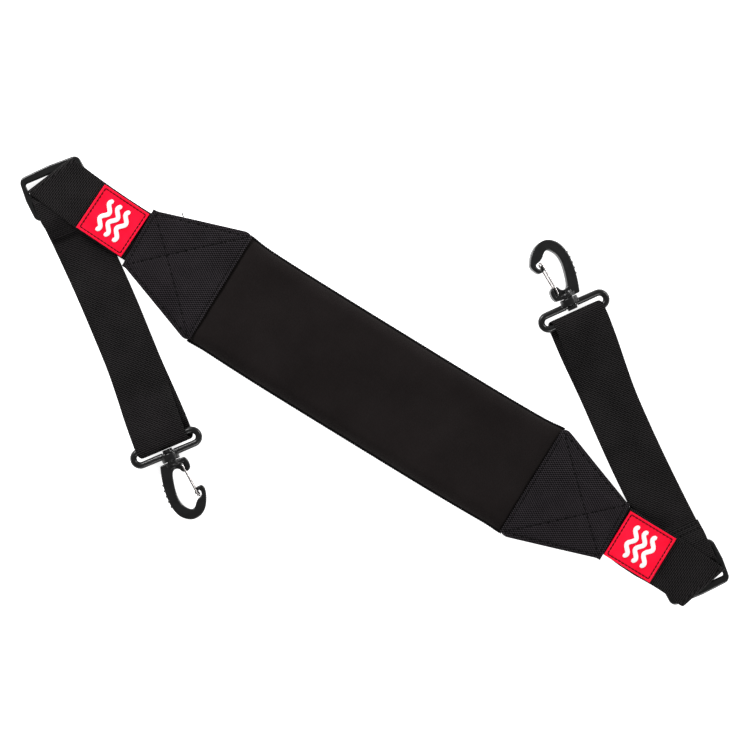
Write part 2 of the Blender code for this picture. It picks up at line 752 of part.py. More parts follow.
def label_matrix(tail):
    """On the sloping webbing beside the patch: local +X towards the pad, +Z off the webbing."""
    start_x, mouth_x = (pad_run(tail, t)[0].x for t in (0, 1))
    label_at = (start_x - tail.sign * LABEL_CENTRE) / (start_x - mouth_x)
    centre, side = pad_run(tail, label_at)
    ahead = pad_run(tail, label_at + 0.2)[0] - pad_run(tail, label_at - 0.2)[0]
    ahead.normalize()
    normal = ahead.cross(side).normalized()
    across = normal.cross(ahead)
    turn = Matrix((ahead, across, normal)).transposed().to_4x4()
    return Matrix.Translation(centre) @ turn


def make_label(tail):
    """Raised rubber label, with three plain waves on it."""
    place = label_matrix(tail)
    label_z = WEB_THICK / 2 + GAP + LABEL_THICK / 2
    label = box(f"{tail.name}_label", (LABEL_LENGTH, LABEL_WIDTH, LABEL_THICK),
                (0, 0, label_z), "label_rubber", bevel=0.45 * MM)
    label.matrix_world = place
    lift = label_z + (LABEL_THICK + WAVE_THICK) / 2 + GAP
    for row in (1, 2, 3):
        middle = (row - 2) * WAVE_PITCH
        upper = []
        lower = []
        for k in range(WAVE_STEPS + 1):
            y = WAVE_SPAN * (k / WAVE_STEPS - 0.5)
            x = middle + WAVE_HEIGHT * math.sin(4 * math.pi * k / WAVE_STEPS)
            upper.append((x + WAVE_STROKE / 2, y))
            lower.append((x - WAVE_STROKE / 2, y))
        name = f"{tail.name}_wave_{row}"
        outline = upper + lower[::-1]
        wave = mesh_from(plate(name, [outline], WAVE_THICK, 0.0, "emblem_white"))
        wave.matrix_world = place @ Matrix.Translation((0, 0, lift))


# ---------------------------------------------------------------- build

clear_scene()
PARTS = new_collection("padded_carry_strap")
CUTTERS = new_collection("cutters")
MATERIALS = make_materials()
make_pad()
for side_name in SIDES:
    side_tail = Tail(side_name)
    make_patch(side_name, side_tail.sign)
    make_doubled_webbing(side_tail)
    make_fold(side_tail)
    make_pad_run(side_tail)
    make_slider(side_tail)
    make_eye(side_tail)
    make_hook(side_tail)
    make_gate(side_tail)
    make_label(side_tail)
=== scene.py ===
"""Padded shoulder carry strap: the finished look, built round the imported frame."""
import json
import math

import bmesh
import bpy
import numpy as np
from mathutils import Matrix, Vector, noise


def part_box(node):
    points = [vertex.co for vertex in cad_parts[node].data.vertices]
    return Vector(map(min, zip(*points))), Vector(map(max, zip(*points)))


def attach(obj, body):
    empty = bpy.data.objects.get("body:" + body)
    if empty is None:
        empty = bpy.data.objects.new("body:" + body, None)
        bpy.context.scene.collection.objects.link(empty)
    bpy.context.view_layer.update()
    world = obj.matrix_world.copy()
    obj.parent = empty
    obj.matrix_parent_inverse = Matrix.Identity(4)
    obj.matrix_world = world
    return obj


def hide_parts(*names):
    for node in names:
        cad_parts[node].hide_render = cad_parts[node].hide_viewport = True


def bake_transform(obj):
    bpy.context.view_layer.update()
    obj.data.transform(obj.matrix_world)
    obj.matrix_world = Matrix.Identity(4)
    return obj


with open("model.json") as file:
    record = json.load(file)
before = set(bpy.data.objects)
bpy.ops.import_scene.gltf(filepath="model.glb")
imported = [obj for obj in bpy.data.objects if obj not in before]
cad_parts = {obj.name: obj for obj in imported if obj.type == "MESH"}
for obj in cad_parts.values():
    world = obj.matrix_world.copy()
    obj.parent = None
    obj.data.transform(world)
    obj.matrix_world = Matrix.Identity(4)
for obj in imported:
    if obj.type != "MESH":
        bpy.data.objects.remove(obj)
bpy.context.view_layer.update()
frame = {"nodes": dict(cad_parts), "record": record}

MM = 0.001
SIDES = ("left", "right")

# Sizes shared with the frame
PAD_LENGTH = 261.4 * MM
PAD_EDGE = 41.2 * MM
PAD_TOP = 7.6 * MM
PATCH_LENGTH = 66.1 * MM
PATCH_START = PAD_LENGTH / 2 + 0.3 * MM
PATCH_MID = (3.9 * MM, 5.2 * MM)
PATCH_LIFT = (3.3 * MM, 1.45 * MM)
PATCH_EDGE_LIFT = 0.65 * MM
INSERT_Z = PATCH_MID[1]
WEB_WIDTH = 38.0 * MM
WEB_THICK = 1.3 * MM
GAP = 0.3 * MM
WEB_PITCH = WEB_THICK + GAP
FLOOR_GAP = 0.2 * MM
BAR_WIDTH = 5.6 * MM
BAR_CLEAR = BAR_WIDTH / 2 + GAP + WEB_THICK / 2
BAR_OUTER = BAR_CLEAR + WEB_PITCH
SLIDER_THICK = 3.2 * MM
SLIDER_Z = FLOOR_GAP + 2 * WEB_PITCH + SLIDER_THICK / 2
EYE_RADIUS = 2.5 * MM
FOLD_RADIUS = 2.4 * MM
FOLD_ROLL = FOLD_RADIUS + WEB_THICK / 2
FOLD_TURN = FOLD_RADIUS * math.pi / 2
FOLD_START = SLIDER_Z - 0.9 * MM
# Each fold line's angle, distance from the slider's middle and sideways shift
FOLDS = {
    "left": (math.radians(14.6), 11.3 * MM, -1.2 * MM),
    "right": (math.radians(17.4), 14.4 * MM, -3.2 * MM),
}
# Where the webbing enters the patch, and the shares of its run that end its slant and level part
MOUTH_Y = {"left": 0.8 * MM, "right": 0.3 * MM}
SLANT_END = 0.3
PLATEAU_END = 0.46
PLATEAU_SOFT = 0.10
LABEL_CENTRE = 217.8 * MM
LABEL_LENGTH = 37.8 * MM
LABEL_WIDTH = 36.1 * MM

# How the soft pad and tails lie: the pad's sewn edge and its bow, and the bow of each tail
PAD_HALF = 42.65 * MM
PAD_BOW = 1.75 * MM
TAIL_BOW = {"left": 2.1 * MM, "right": 2.7 * MM}
# The patches: ends, half-width, ears and taper; then each one's narrow end's place and slant, its
# shift across, and how much narrower its outer end is on one edge
PATCH_INNER = 128.3 * MM
PATCH_OUTER = 197.0 * MM
PATCH_HALF = 43.5 * MM
PATCH_EARS = 197.5 * MM
PATCH_TAPER_FROM = 134.0 * MM
PATCH_TAPER = 0.343
PATCH_ENDS = {"left": (196.9 * MM, 0.039), "right": (197.6 * MM, -0.055)}
PATCH_SHIFT = {"left": 0.4 * MM, "right": 0.0}
PATCH_TRIM = {"left": 0.0, "right": 2.0 * MM}
STITCH_LINE_INSET = 2.3 * MM
LOOSE_THREAD_X = 176.0 * MM
LABEL_TURN = {"left": 0.0, "right": math.radians(1.8)}
LABEL_STITCH_INSET = 1.95 * MM
LABEL_BASE = WEB_THICK / 2 + 0.02 * MM
LABEL_TOP = LABEL_BASE + 1.0 * MM
# The webbing: how far it sways beside the pad and at the patch, how loosely it turns round the
# eye's bar, and how much it spreads inside the slider
RUN_SWAY = {"left": 0.0, "right": 1.3 * MM}
MOUTH_SWAY = {"left": 0.0, "right": 0.7 * MM}
TURN_SLACK = {"left": 1.7 * MM, "right": 0.8 * MM}
SLIDER_SPREAD = 0.42 * MM
# The pad's shell before it swells, and its swelling
SHELL_THICK = 5.4 * MM
SHELL_MIDDLE = 3.6 * MM
SHELL_BOTTOM = 0.9 * MM
SHELL_VOXEL = 2.6 * MM
PUFF_FRAMES = 20
PUFF_PRESSURE = 4.0
PUFF_CAP = 2.4 * MM
# The right hook's crook is fuller outside: where that starts, and by what share it grows
CROOK_SIDE = 3.0 * MM
CROOK_START = 39.0 * MM
CROOK_EASE = 8.0 * MM
CROOK_GROWTH = 0.27


# ---- stage

VIEW_CENTRE = (-4.1 * MM, 5.3 * MM)
VIEW_TURN = math.radians(31.57)
VIEW_WIDTH = 527.8 * MM
VIEW_HEIGHT = 3.0
VIEW_FOCUS = 4 * MM
SENSOR = 36.0
FLOOR_GLOW = 0.84
SKY_GLOW = 0.22
# Name, place, size and power
LAMPS = (
    ("key", (-1.05, 0.3, 0.7), 0.45, 16.0),
    ("fill", (1.1, -0.7, 0.9), 0.7, 13.0),
    ("rim", (0.4, 1.25, 0.5), 0.5, 12.0),
)


def add_object(name, data):
    obj = bpy.data.objects.new(name, data)
    bpy.context.scene.collection.objects.link(obj)
    return obj


def mesh_from(bm, name):
    mesh = bpy.data.meshes.new(name)
    bm.to_mesh(mesh)
    bm.free()
    return mesh


def set_inputs(node, values):
    for name, value in values.items():
        node.inputs[name].default_value = value


def make_stage():
    scene = bpy.context.scene
    scene.view_settings.view_transform = "Standard"
    camera_data = bpy.data.cameras.new("camera")
    camera_data.sensor_width = SENSOR
    camera_data.lens = SENSOR * VIEW_HEIGHT / VIEW_WIDTH
    camera_data.clip_start = 0.01
    camera = add_object("camera", camera_data)
    camera.location = (*VIEW_CENTRE, VIEW_HEIGHT + VIEW_FOCUS)
    camera.rotation_euler = (0.0, 0.0, VIEW_TURN)
    scene.camera = camera

    bm = bmesh.new()
    bmesh.ops.create_grid(bm, x_segments=1, y_segments=1, size=6.0)
    floor = add_object("floor", mesh_from(bm, "floor"))
    floor.location = (0.0, 0.0, -0.1 * MM)
    paint = bpy.data.materials.new("floor_paint")
    paint.use_nodes = True
    set_inputs(paint.node_tree.nodes["Principled BSDF"], {
        "Base Color": (0.93, 0.93, 0.93, 1.0), "Roughness": 0.9, "Specular IOR Level": 0.1,
        "Emission Color": (1.0, 1.0, 1.0, 1.0), "Emission Strength": FLOOR_GLOW})
    floor.data.materials.append(paint)

    world = bpy.data.worlds.new("studio")
    world.use_nodes = True
    set_inputs(world.node_tree.nodes["Background"],
               {"Color": (1.0, 1.0, 1.0, 1.0), "Strength": SKY_GLOW})
    scene.world = world
    for name, place, size, power in LAMPS:
        data = bpy.data.lights.new(name, "AREA")
        data.shape = "SQUARE"
        data.size = size
        data.energy = power
        lamp = add_object(name, data)
        lamp.location = place
        lamp.rotation_euler = (-Vector(place)).to_track_quat("-Z", "Y").to_euler()


# ---- materials

RIB_PITCH = 1.35 * MM
RIB_YARN = 0.9 * MM
PATCH_YARNS = (1.36 * MM, 0.84 * MM)
KNIT_PITCH = 1.15 * MM
THREAD_PLY = 0.25 * MM


class Finish:
    """A node material with short calls for its maths."""

    def __init__(self, name, roughness=0.6, metallic=0.0, specular=0.5, sheen=0.0):
        self.material = bpy.data.materials.new(name)
        self.material.use_nodes = True
        self.nodes = self.material.node_tree.nodes
        self.links = self.material.node_tree.links
        self.shader = self.nodes["Principled BSDF"]
        set_inputs(self.shader, {
            "Roughness": roughness, "Metallic": metallic, "Specular IOR Level": specular,
            "Sheen Weight": sheen, "Sheen Roughness": 0.5})

    def put(self, socket, value):
        if isinstance(value, bpy.types.NodeSocket):
            self.links.new(value, socket)
        else:
            socket.default_value = value

    def math(self, operation, a, b=0.0, c=0.0):
        node = self.nodes.new("ShaderNodeMath")
        node.operation = operation
        for socket, value in zip(node.inputs, (a, b, c)):
            self.put(socket, value)
        return node.outputs[0]

    def sine(self, value, factor):
        return self.math("SINE", self.math("MULTIPLY", value, factor))

    def coordinates(self, kind):
        node = self.nodes.new("ShaderNodeTexCoord")
        split = self.nodes.new("ShaderNodeSeparateXYZ")
        self.links.new(node.outputs[kind], split.inputs[0])
        return node.outputs[kind], split.outputs

    def noise(self, vector, scale, detail=2.0, roughness=0.5):
        node = self.nodes.new("ShaderNodeTexNoise")
        self.links.new(vector, node.inputs["Vector"])
        set_inputs(node, {"Scale": scale, "Detail": detail, "Roughness": roughness})
        return node.outputs[0]

    def ramp(self, factor, low, high, dark, light):
        """Map a factor from low..high onto dark..light colours."""
        mix = self.nodes.new("ShaderNodeMix")
        mix.data_type = "RGBA"
        self.links.new(self.span(factor, low, high, 0.0, 1.0), mix.inputs["Factor"])
        colours = [socket for socket in mix.inputs if socket.type == "RGBA"]
        colours[0].default_value = (*dark, 1.0)
        colours[1].default_value = (*light, 1.0)
        return next(socket for socket in mix.outputs if socket.type == "RGBA")

    def span(self, factor, low, high, out_low, out_high):
        node = self.nodes.new("ShaderNodeMapRange")
        node.clamp = True
        self.put(node.inputs["Value"], factor)
        set_inputs(node, {"From Min": low, "From Max": high, "To Min": out_low,
                          "To Max": out_high})
        return node.outputs["Result"]

    def bump(self, height, distance, strength=1.0, under=None):
        node = self.nodes.new("ShaderNodeBump")
        set_inputs(node, {"Strength": strength, "Distance": distance})
        self.links.new(height, node.inputs["Height"])
        if under is not None:
            self.links.new(under, node.inputs["Normal"])
        return node.outputs["Normal"]

    def weave(self, along, across, pitch_along, pitch_across, shift):
        """Yarns over and under each other; shift 1 is a plain weave, 0.5 a twill.

        Gives the height of the cloth, of its warp and of its weft."""
        a = self.math("DIVIDE", along, pitch_along)
        b = self.math("DIVIDE", across, pitch_across)
        warp = self.yarn(b, a, shift, 0.0)
        weft = self.yarn(a, b, shift, 1.0)
        return self.math("MAXIMUM", warp, weft), warp, weft

    def yarn(self, across, along, shift, offset):
        """One set of yarns: round across, and lifted and sunk along their length."""
        round_top = self.math("ABSOLUTE", self.sine(across, math.pi))
        row = self.math("FLOOR", across)
        phase = self.math("MULTIPLY_ADD", row, shift, offset)
        wave = self.sine(self.math("ADD", along, phase), math.pi)
        lift = self.math("MULTIPLY_ADD", wave, 0.5, 0.5)
        return self.math("MULTIPLY", round_top, lift)

    def finish(self, colour, normal=None, roughness=None):
        self.put(self.shader.inputs["Base Color"], colour)
        if normal is not None:
            self.links.new(normal, self.shader.inputs["Normal"])
        if roughness is not None:
            self.put(self.shader.inputs["Roughness"], roughness)
        return self.material


def make_webbing_finish(name, heading=None):
    """Ribbed nylon webbing: cross ribs of weft, each crossed by fine warp yarns.

    The ribs follow the strap's own length, or a fixed heading where the strap is drawn out."""
    kit = Finish(name, roughness=0.7, specular=0.05, sheen=0.01)
    object_vector, (x, y, _) = kit.coordinates("Object")
    if heading is None:
        _, (along, across, _) = kit.coordinates("UV")
    else:
        cos, sin = math.cos(heading), math.sin(heading)
        along = kit.math("MULTIPLY_ADD", x, cos, kit.math("MULTIPLY", y, sin))
        across = kit.math("MULTIPLY_ADD", y, cos, kit.math("MULTIPLY", x, -sin))
    fuzz = kit.noise(object_vector, 1900.0, 2.0)
    wobble = kit.math("MULTIPLY", kit.noise(object_vector, 160.0, 1.0), 0.35 * MM)
    ribbed = kit.math("ADD", along, wobble)
    rib = kit.math("ABSOLUTE", kit.sine(ribbed, math.pi / RIB_PITCH))
    twill, _, _ = kit.weave(ribbed, across, RIB_PITCH, RIB_YARN, 0.5)
    height = kit.math("MULTIPLY_ADD", rib, 0.75, kit.math("MULTIPLY", twill, 0.45))
    patches = kit.noise(object_vector, 45.0, 3.0)
    tone = kit.math("MULTIPLY_ADD", patches, 0.45, height)
    tone = kit.math("MULTIPLY_ADD", fuzz, 0.25, tone)
    # The colour follows the weave height: painted shade between the ribs and yarns, painted
    # highlight on their crowns, over random patches and fuzz
    colour = kit.ramp(tone, 0.85, 1.40, (0.0006, 0.0005, 0.0005), (0.0215, 0.0195, 0.0200))
    fine = kit.bump(fuzz, 0.04 * MM, 0.5)
    normal = kit.bump(height, 0.26 * MM, 0.9, fine)
    roughness = kit.span(height, 0.0, 1.2, 0.9, 0.6)
    return kit.finish(colour, normal, roughness)


def make_patch_finish():
    """Coarse nylon plain weave, its colour lighter on the yarn crowns (painted highlight) and
    dark in the gaps (painted shade).
    """
    kit = Finish("charcoal_nylon", roughness=0.62, specular=0.06, sheen=0.01)
    vector, (x, y, _) = kit.coordinates("Object")
    plain, warp, weft = kit.weave(x, y, *PATCH_YARNS, 1.0)
    cloud = kit.noise(vector, 70.0, 4.0)
    slub = kit.noise(vector, 900.0, 2.0)
    # Painted light: the colour rises on the warp crowns and falls in the gaps between yarns, over
    # random cloud and slubs
    tone = kit.math("MULTIPLY_ADD", cloud, 0.4, kit.math("MULTIPLY_ADD", weft, -0.3, warp))
    tone = kit.math("MULTIPLY_ADD", slub, 0.35, tone)
    colour = kit.ramp(tone, 0.35, 1.15, (0.0010, 0.0008, 0.0010), (0.036, 0.0305, 0.0350))
    fine = kit.bump(slub, 0.05 * MM, 0.5)
    normal = kit.bump(plain, 0.2 * MM, 0.9, fine)
    roughness = kit.span(tone, 0.3, 1.2, 0.85, 0.55)
    return kit.finish(colour, normal, roughness)


def make_knit_finish():
    """Fine jersey face of the padded cover."""
    kit = Finish("black_knit", roughness=0.9, specular=0.04, sheen=0.02)
    vector, (x, y, _) = kit.coordinates("Object")
    diagonal = kit.math("ADD", x, y)
    counter = kit.math("SUBTRACT", x, y)
    knit, _, _ = kit.weave(diagonal, counter, KNIT_PITCH, KNIT_PITCH, 1.0)
    cloud = kit.noise(vector, 28.0, 5.0, 0.6)
    fuzz = kit.noise(vector, 1500.0, 2.0)
    # Part of the colour follows the knit's height: painted shade between its loops, over random
    # cloud and fuzz
    tone = kit.math("MULTIPLY_ADD", cloud, 0.7, kit.math("MULTIPLY", knit, 0.35))
    tone = kit.math("MULTIPLY_ADD", fuzz, 0.25, tone)
    colour = kit.ramp(tone, 0.3, 1.1, (0.0056, 0.0043, 0.0042), (0.0158, 0.0128, 0.0126))
    fine = kit.bump(fuzz, 0.05 * MM, 0.6)
    normal = kit.bump(knit, 0.12 * MM, 0.8, fine)
    roughness = kit.span(tone, 0.3, 1.1, 0.95, 0.8)
    return kit.finish(colour, normal, roughness)


def make_thread_finish():
    """Twisted sewing thread."""
    kit = Finish("black_thread", roughness=0.6, specular=0.05, sheen=0.01)
    _, (x, y, z) = kit.coordinates("Object")
    twist = kit.math("ADD", kit.math("ADD", x, y), z)
    ply = kit.sine(twist, math.pi / THREAD_PLY)
    # The colour follows the ply: painted shade in the grooves of the twist, painted highlight on
    # its ridges
    colour = kit.ramp(ply, -1.0, 1.0, (0.0008, 0.0007, 0.0008), (0.0060, 0.0054, 0.0056))
    roughness = kit.span(ply, -1.0, 1.0, 0.75, 0.5)
    return kit.finish(colour, kit.bump(ply, 0.04 * MM, 0.7), roughness)


def make_rubber_finish(name, dark, light):
    """Soft moulded rubber with a faint orange peel and small tone changes."""
    kit = Finish(name, roughness=0.45, specular=0.12)
    vector, _ = kit.coordinates("Object")
    cloud = kit.noise(vector, 90.0, 3.0)
    grain = kit.noise(vector, 2600.0, 2.0)
    colour = kit.ramp(cloud, 0.3, 0.7, dark, light)
    roughness = kit.span(cloud, 0.3, 0.7, 0.38, 0.55)
    return kit.finish(colour, kit.bump(grain, 0.03 * MM, 0.6), roughness)


def make_plastic_finish():
    """Acetal with a satin skin, finely grained, a little glossier on its edges, where a painted
    highlight also lightens its colour.
    """
    kit = Finish("charcoal_acetal", roughness=0.34, specular=0.42)
    vector, _ = kit.coordinates("Object")
    cloud = kit.noise(vector, 160.0, 4.0)
    grain = kit.noise(vector, 3400.0, 2.0)
    geometry = kit.nodes.new("ShaderNodeNewGeometry")
    # Painted highlight: the colour gets lighter on sharp convex edges, standing in for light
    # caught by the bevels
    edge_highlight = kit.span(geometry.outputs["Pointiness"], 0.52, 0.60, 0.0, 0.45)
    tone = kit.math("ADD", cloud, edge_highlight)
    colour = kit.ramp(tone, 0.3, 1.1, (0.0030, 0.0030, 0.0031), (0.0145, 0.0145, 0.0148))
    roughness = kit.span(tone, 0.3, 1.0, 0.32, 0.22)
    return kit.finish(colour, kit.bump(grain, 0.03 * MM, 0.5), roughness)


def make_wire_finish():
    """Bright drawn stainless wire with faint scratches along it."""
    kit = Finish("stainless_wire", roughness=0.22, metallic=1.0)
    vector, _ = kit.coordinates("Object")
    smudge = kit.noise(vector, 700.0, 3.0)
    scratch = kit.noise(vector, 5200.0, 1.0)
    colour = kit.ramp(smudge, 0.3, 0.7, (0.50, 0.47, 0.46), (0.72, 0.69, 0.68))
    roughness = kit.span(smudge, 0.3, 0.7, 0.16, 0.32)
    return kit.finish(colour, kit.bump(scratch, 0.015 * MM, 0.5), roughness)


# ---- mesh helpers

def add_remesh(obj, voxel):
    remesh = obj.modifiers.new("voxels", "REMESH")
    remesh.mode = "VOXEL"
    remesh.voxel_size = voxel


def dress(mesh, finish):
    mesh.materials.clear()
    mesh.materials.append(finish)
    mesh.shade_smooth()


def add_piece(name, mesh, finish, smooth_angle=50.0):
    piece = add_object(name, mesh)
    dress(mesh, finish)
    mesh.set_sharp_from_angle(angle=math.radians(smooth_angle))
    return piece


def mesh_of(name, vertices, faces, uvs=None):
    mesh = bpy.data.meshes.new(name)
    mesh.from_pydata([tuple(v) for v in vertices], [], faces)
    if uvs is not None:
        layer = mesh.uv_layers.new(name="strap")
        for loop in mesh.loops:
            layer.data[loop.index].uv = uvs[loop.vertex_index]
    bm = bmesh.new()
    bm.from_mesh(mesh)
    bmesh.ops.recalc_face_normals(bm, faces=bm.faces)
    bm.to_mesh(mesh)
    bm.free()
    return mesh


def edge_profile(across):
    """Share of the full thickness at each position from -1 to 1: full, with round edges."""
    return np.sqrt(np.clip(1 - np.abs(across) ** 40, 0, 1))


def spread(count, crowd=0.93):
    """Positions from -1 to 1, closer together at the edges."""
    inner = np.linspace(-crowd, crowd, count - 6)
    edge = crowd + (1 - crowd) * np.array([0.55, 0.85, 1.0])
    return np.concatenate([-edge[::-1], inner, edge])


def cloth_solid(name, rows, thickness, finish, across, uv_half=None):
    """A closed solid round a surface of points (along, across), thickness both ways.

    The first and last column are the edges, where both faces meet. With uv_half, half the
    strap's width, it gets UVs in metres along and across the strap."""
    rows = np.asarray(rows, float)
    count, width, _ = rows.shape
    run = np.gradient(rows, axis=0)
    side = np.gradient(rows, axis=1)
    normal = np.cross(run, side)
    normal /= np.maximum(np.linalg.norm(normal, axis=2, keepdims=True), 1e-12)
    half = np.broadcast_to(np.asarray(thickness, float) / 2, (count, width))
    offset = (half * edge_profile(across))[:, :, None] * normal
    top = rows + offset
    bottom = (rows - offset)[:, 1:-1]
    ring = width + width - 2
    rings = np.concatenate([top, bottom[:, ::-1]], axis=1)
    vertices = rings.reshape(-1, 3)
    faces = []
    for i in range(count - 1):
        for j in range(ring):
            k = (j + 1) % ring
            faces.append((i * ring + j, i * ring + k, (i + 1) * ring + k, (i + 1) * ring + j))
    for base in (0, (count - 1) * ring):
        under = [base + ring - j for j in range(1, width - 1)]
        lower = [base] + under + [base + width - 1]
        for j in range(width - 1):
            corners = [base + j, base + j + 1, lower[j + 1], lower[j]]
            faces.append(tuple(dict.fromkeys(corners)))
    uvs = None
    if uv_half is not None:
        step = np.linalg.norm(np.diff(rows, axis=0), axis=2)
        along = np.concatenate([np.zeros((1, width)), np.cumsum(step, axis=0)])
        middle = width // 2
        lead = rows[1, middle] - rows[0, middle]
        lead /= np.linalg.norm(lead)
        along += (rows[0] - rows[0, middle]) @ lead
        sideways = np.broadcast_to(across * uv_half, (count, width))
        pair = np.stack([along, sideways], axis=2)
        ring_uv = np.concatenate([pair, pair[:, 1:-1][:, ::-1]], axis=1)
        uvs = [tuple(uv) for uv in ring_uv.reshape(-1, 2)]
    return add_piece(name, mesh_of(name, vertices, faces, uvs), finish)


def bridge(bm, rings):
    """Add the faces between closed rings of vertices."""
    for first, second in zip(rings, rings[1:]):
        for j in range(len(first)):
            k = (j + 1) % len(first)
            bm.faces.new((first[j], first[k], second[k], second[j]))


def tube_into(bm, points, radius, sides=6):
    """Add a closed round tube through points to bm; radius may be one number per point."""
    points = [Vector(p) for p in points]
    radii = radius if hasattr(radius, "__len__") else [radius] * len(points)
    rings = []
    normal = None
    for k, point in enumerate(points):
        ahead = points[min(k + 1, len(points) - 1)] - points[max(k - 1, 0)]
        ahead.normalize()
        if normal is None:
            normal = ahead.orthogonal().normalized()
        normal = (normal - ahead * normal.dot(ahead)).normalized()
        other = ahead.cross(normal)
        ring = []
        for j in range(sides):
            angle = 2 * math.pi * j / sides
            spoke = normal * math.cos(angle) + other * math.sin(angle)
            ring.append(bm.verts.new(point + spoke * radii[k]))
        rings.append(ring)
    bridge(bm, rings)
    bm.faces.new(rings[0][::-1])
    bm.faces.new(rings[-1])


def object_from(bm, name, finish, smooth_angle=60.0):
    bmesh.ops.recalc_face_normals(bm, faces=bm.faces)
    return add_piece(name, mesh_from(bm, name), finish, smooth_angle)


def walk(points, step):
    """Points spaced evenly along a polyline, about a step apart."""
    points = np.asarray(points, float)
    lengths = np.linalg.norm(np.diff(points, axis=0), axis=1)
    total = np.concatenate([[0], np.cumsum(lengths)])
    count = max(1, round(total[-1] / step))
    where = np.linspace(0, total[-1], count + 1)
    return np.stack([np.interp(where, total, points[:, k]) for k in range(points.shape[1])], 1)


def stitch_line(bm, points, up, length, gap, radius=0.3 * MM):
    """A row of thread stitches along a line; each one's ends dip into the fabric."""
    path = walk(points, length + gap)
    share = length / (length + gap)
    for start, end in zip(path[:-1], path[1:]):
        start, end = Vector(start), Vector(end)
        finish_at = start.lerp(end, share)
        arc = []
        radii = []
        for k in range(7):
            t = k / 6
            lift = math.sin(math.pi * t) ** 0.5 * 0.34 * MM - 0.22 * MM
            arc.append(start.lerp(finish_at, t) + up * lift)
            radii.append(radius * (0.55 + 0.45 * math.sin(math.pi * t) ** 0.6))
        tube_into(bm, arc, radii)


def rounded(corners, step=math.radians(10)):
    """Points along straight runs whose corners (across, up, radius) are turned on arcs."""
    points = [Vector(corners[0][:2])]
    for before, (x, y, radius), after in zip(corners, corners[1:], corners[2:]):
        corner = Vector((x, y))
        back = (Vector(before[:2]) - corner).normalized()
        ahead = (Vector(after[:2]) - corner).normalized()
        half = back.angle(ahead) / 2
        centre = corner + (back + ahead).normalized() * radius / math.sin(half)
        start = corner + back * radius / math.tan(half) - centre
        turn = math.pi - 2 * half
        if back.x * ahead.y - back.y * ahead.x > 0:
            turn = -turn
        count = max(1, math.ceil(abs(turn) / step))
        for k in range(count + 1):
            spoke = start.copy()
            spoke.rotate(Matrix.Rotation(turn * k / count, 2))
            points.append(centre + spoke)
    points.append(Vector(corners[-1][:2]))
    return points


def bezier(a, b, c, d, t):
    u = 1 - t
    return a * u ** 3 + 3 * b * u * u * t + 3 * c * u * t * t + d * t ** 3


def ease(t):
    """A smooth step from 0 to 1."""
    t = min(1.0, max(0.0, t))
    return t * t * (3 - 2 * t)


def wander(x, seed, scale):
    """A small smooth random number from -1 to 1 that depends only on x and seed."""
    return noise.noise(Vector((x / scale, seed, 0.37)))


# ---- frame positions

class Tail:
    """Positions along one webbing tail: along, across and up from its slider's middle."""

    def __init__(self, side_name):
        self.name = side_name
        self.sign = -1 if side_name == "left" else 1
        joints = {j["name"]: j for j in frame["record"]["behaviour"]["joints"]}
        tilt = joints[f"{side_name}_eye_tilt"]
        self.forward = Vector(joints[f"{side_name}_swivel"]["axis"])
        self.across = Vector(tilt["axis"])
        low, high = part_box(f"{side_name}_slider")
        self.origin = (low + high) / 2
        self.origin.z = 0.0
        self.swivel = Vector(tilt["pos_m"])
        self.hook_side = self.forward.cross(Vector(joints[f"{side_name}_gate"]["axis"]))
        self.eye_bar = (self.swivel - self.origin).dot(self.forward)
        self.fold_angle, self.fold_reach, self.fold_creep = FOLDS[side_name]

    def at(self, along, across, up):
        return self.origin + self.forward * along + self.across * across + Vector((0, 0, up))


def level(layer):
    """Middle height of a layer of webbing on top of the slider, counted from 1."""
    top = SLIDER_Z + SLIDER_THICK / 2
    return top + GAP + WEB_THICK / 2 + (layer - 1) * WEB_PITCH


def fold_point(tail, inward, sideways, up):
    """A point measured square to the fold line and along it."""
    sin, cos = math.sin(tail.fold_angle), math.cos(tail.fold_angle)
    along = -tail.fold_reach + inward * cos - sideways * sin
    return tail.at(along, inward * sin + sideways * cos, up)


def pad_run(tail, t):
    """Middle of the webbing and its half-width vector, from the fold (0) to the patch (1)."""
    cos, tan = math.cos(tail.fold_angle), math.tan(tail.fold_angle)
    shift = FOLD_TURN * tan + tail.fold_creep / cos
    start = fold_point(tail, FOLD_ROLL, shift, level(4))
    heading = math.atan2(tail.forward.y, tail.forward.x) + 2 * tail.fold_angle
    ahead = Vector((math.cos(heading), math.sin(heading), 0.0))
    inward = Vector((-tail.sign, 0.0, 0.0))
    mouth = Vector((tail.sign * (PAD_LENGTH / 2 + PATCH_LENGTH), MOUTH_Y[tail.name], INSERT_Z))
    handle = (mouth - start).length / 3
    ends = (start, start + ahead * handle, mouth - inward * handle, mouth)
    centre = bezier(*ends, t)
    run = bezier(*ends, t + 0.01) - centre
    square = Vector((-run.y, run.x, 0.0)).normalized()
    slanted = fold_point(tail, 0, 1, 0) - fold_point(tail, 0, 0, 0)
    side = (slanted / cos).lerp(square, ease(t / SLANT_END))
    past = t - PLATEAU_END
    if past < 0:
        drop = 0.0
    elif past < PLATEAU_SOFT:
        drop = past * past / (2 * PLATEAU_SOFT)
    else:
        drop = past - PLATEAU_SOFT / 2
    drop /= 1 - PLATEAU_END - PLATEAU_SOFT / 2
    centre.z = start.z + (INSERT_Z - start.z) * drop
    return centre, side * WEB_WIDTH / 2


def run_heading(tail):
    """The heading of the webbing beside the pad, over the middle of its run."""
    start, ahead = (pad_run(tail, t)[0] for t in (0.35, 0.65))
    return math.atan2(ahead.y - start.y, ahead.x - start.x)


# ---- pad

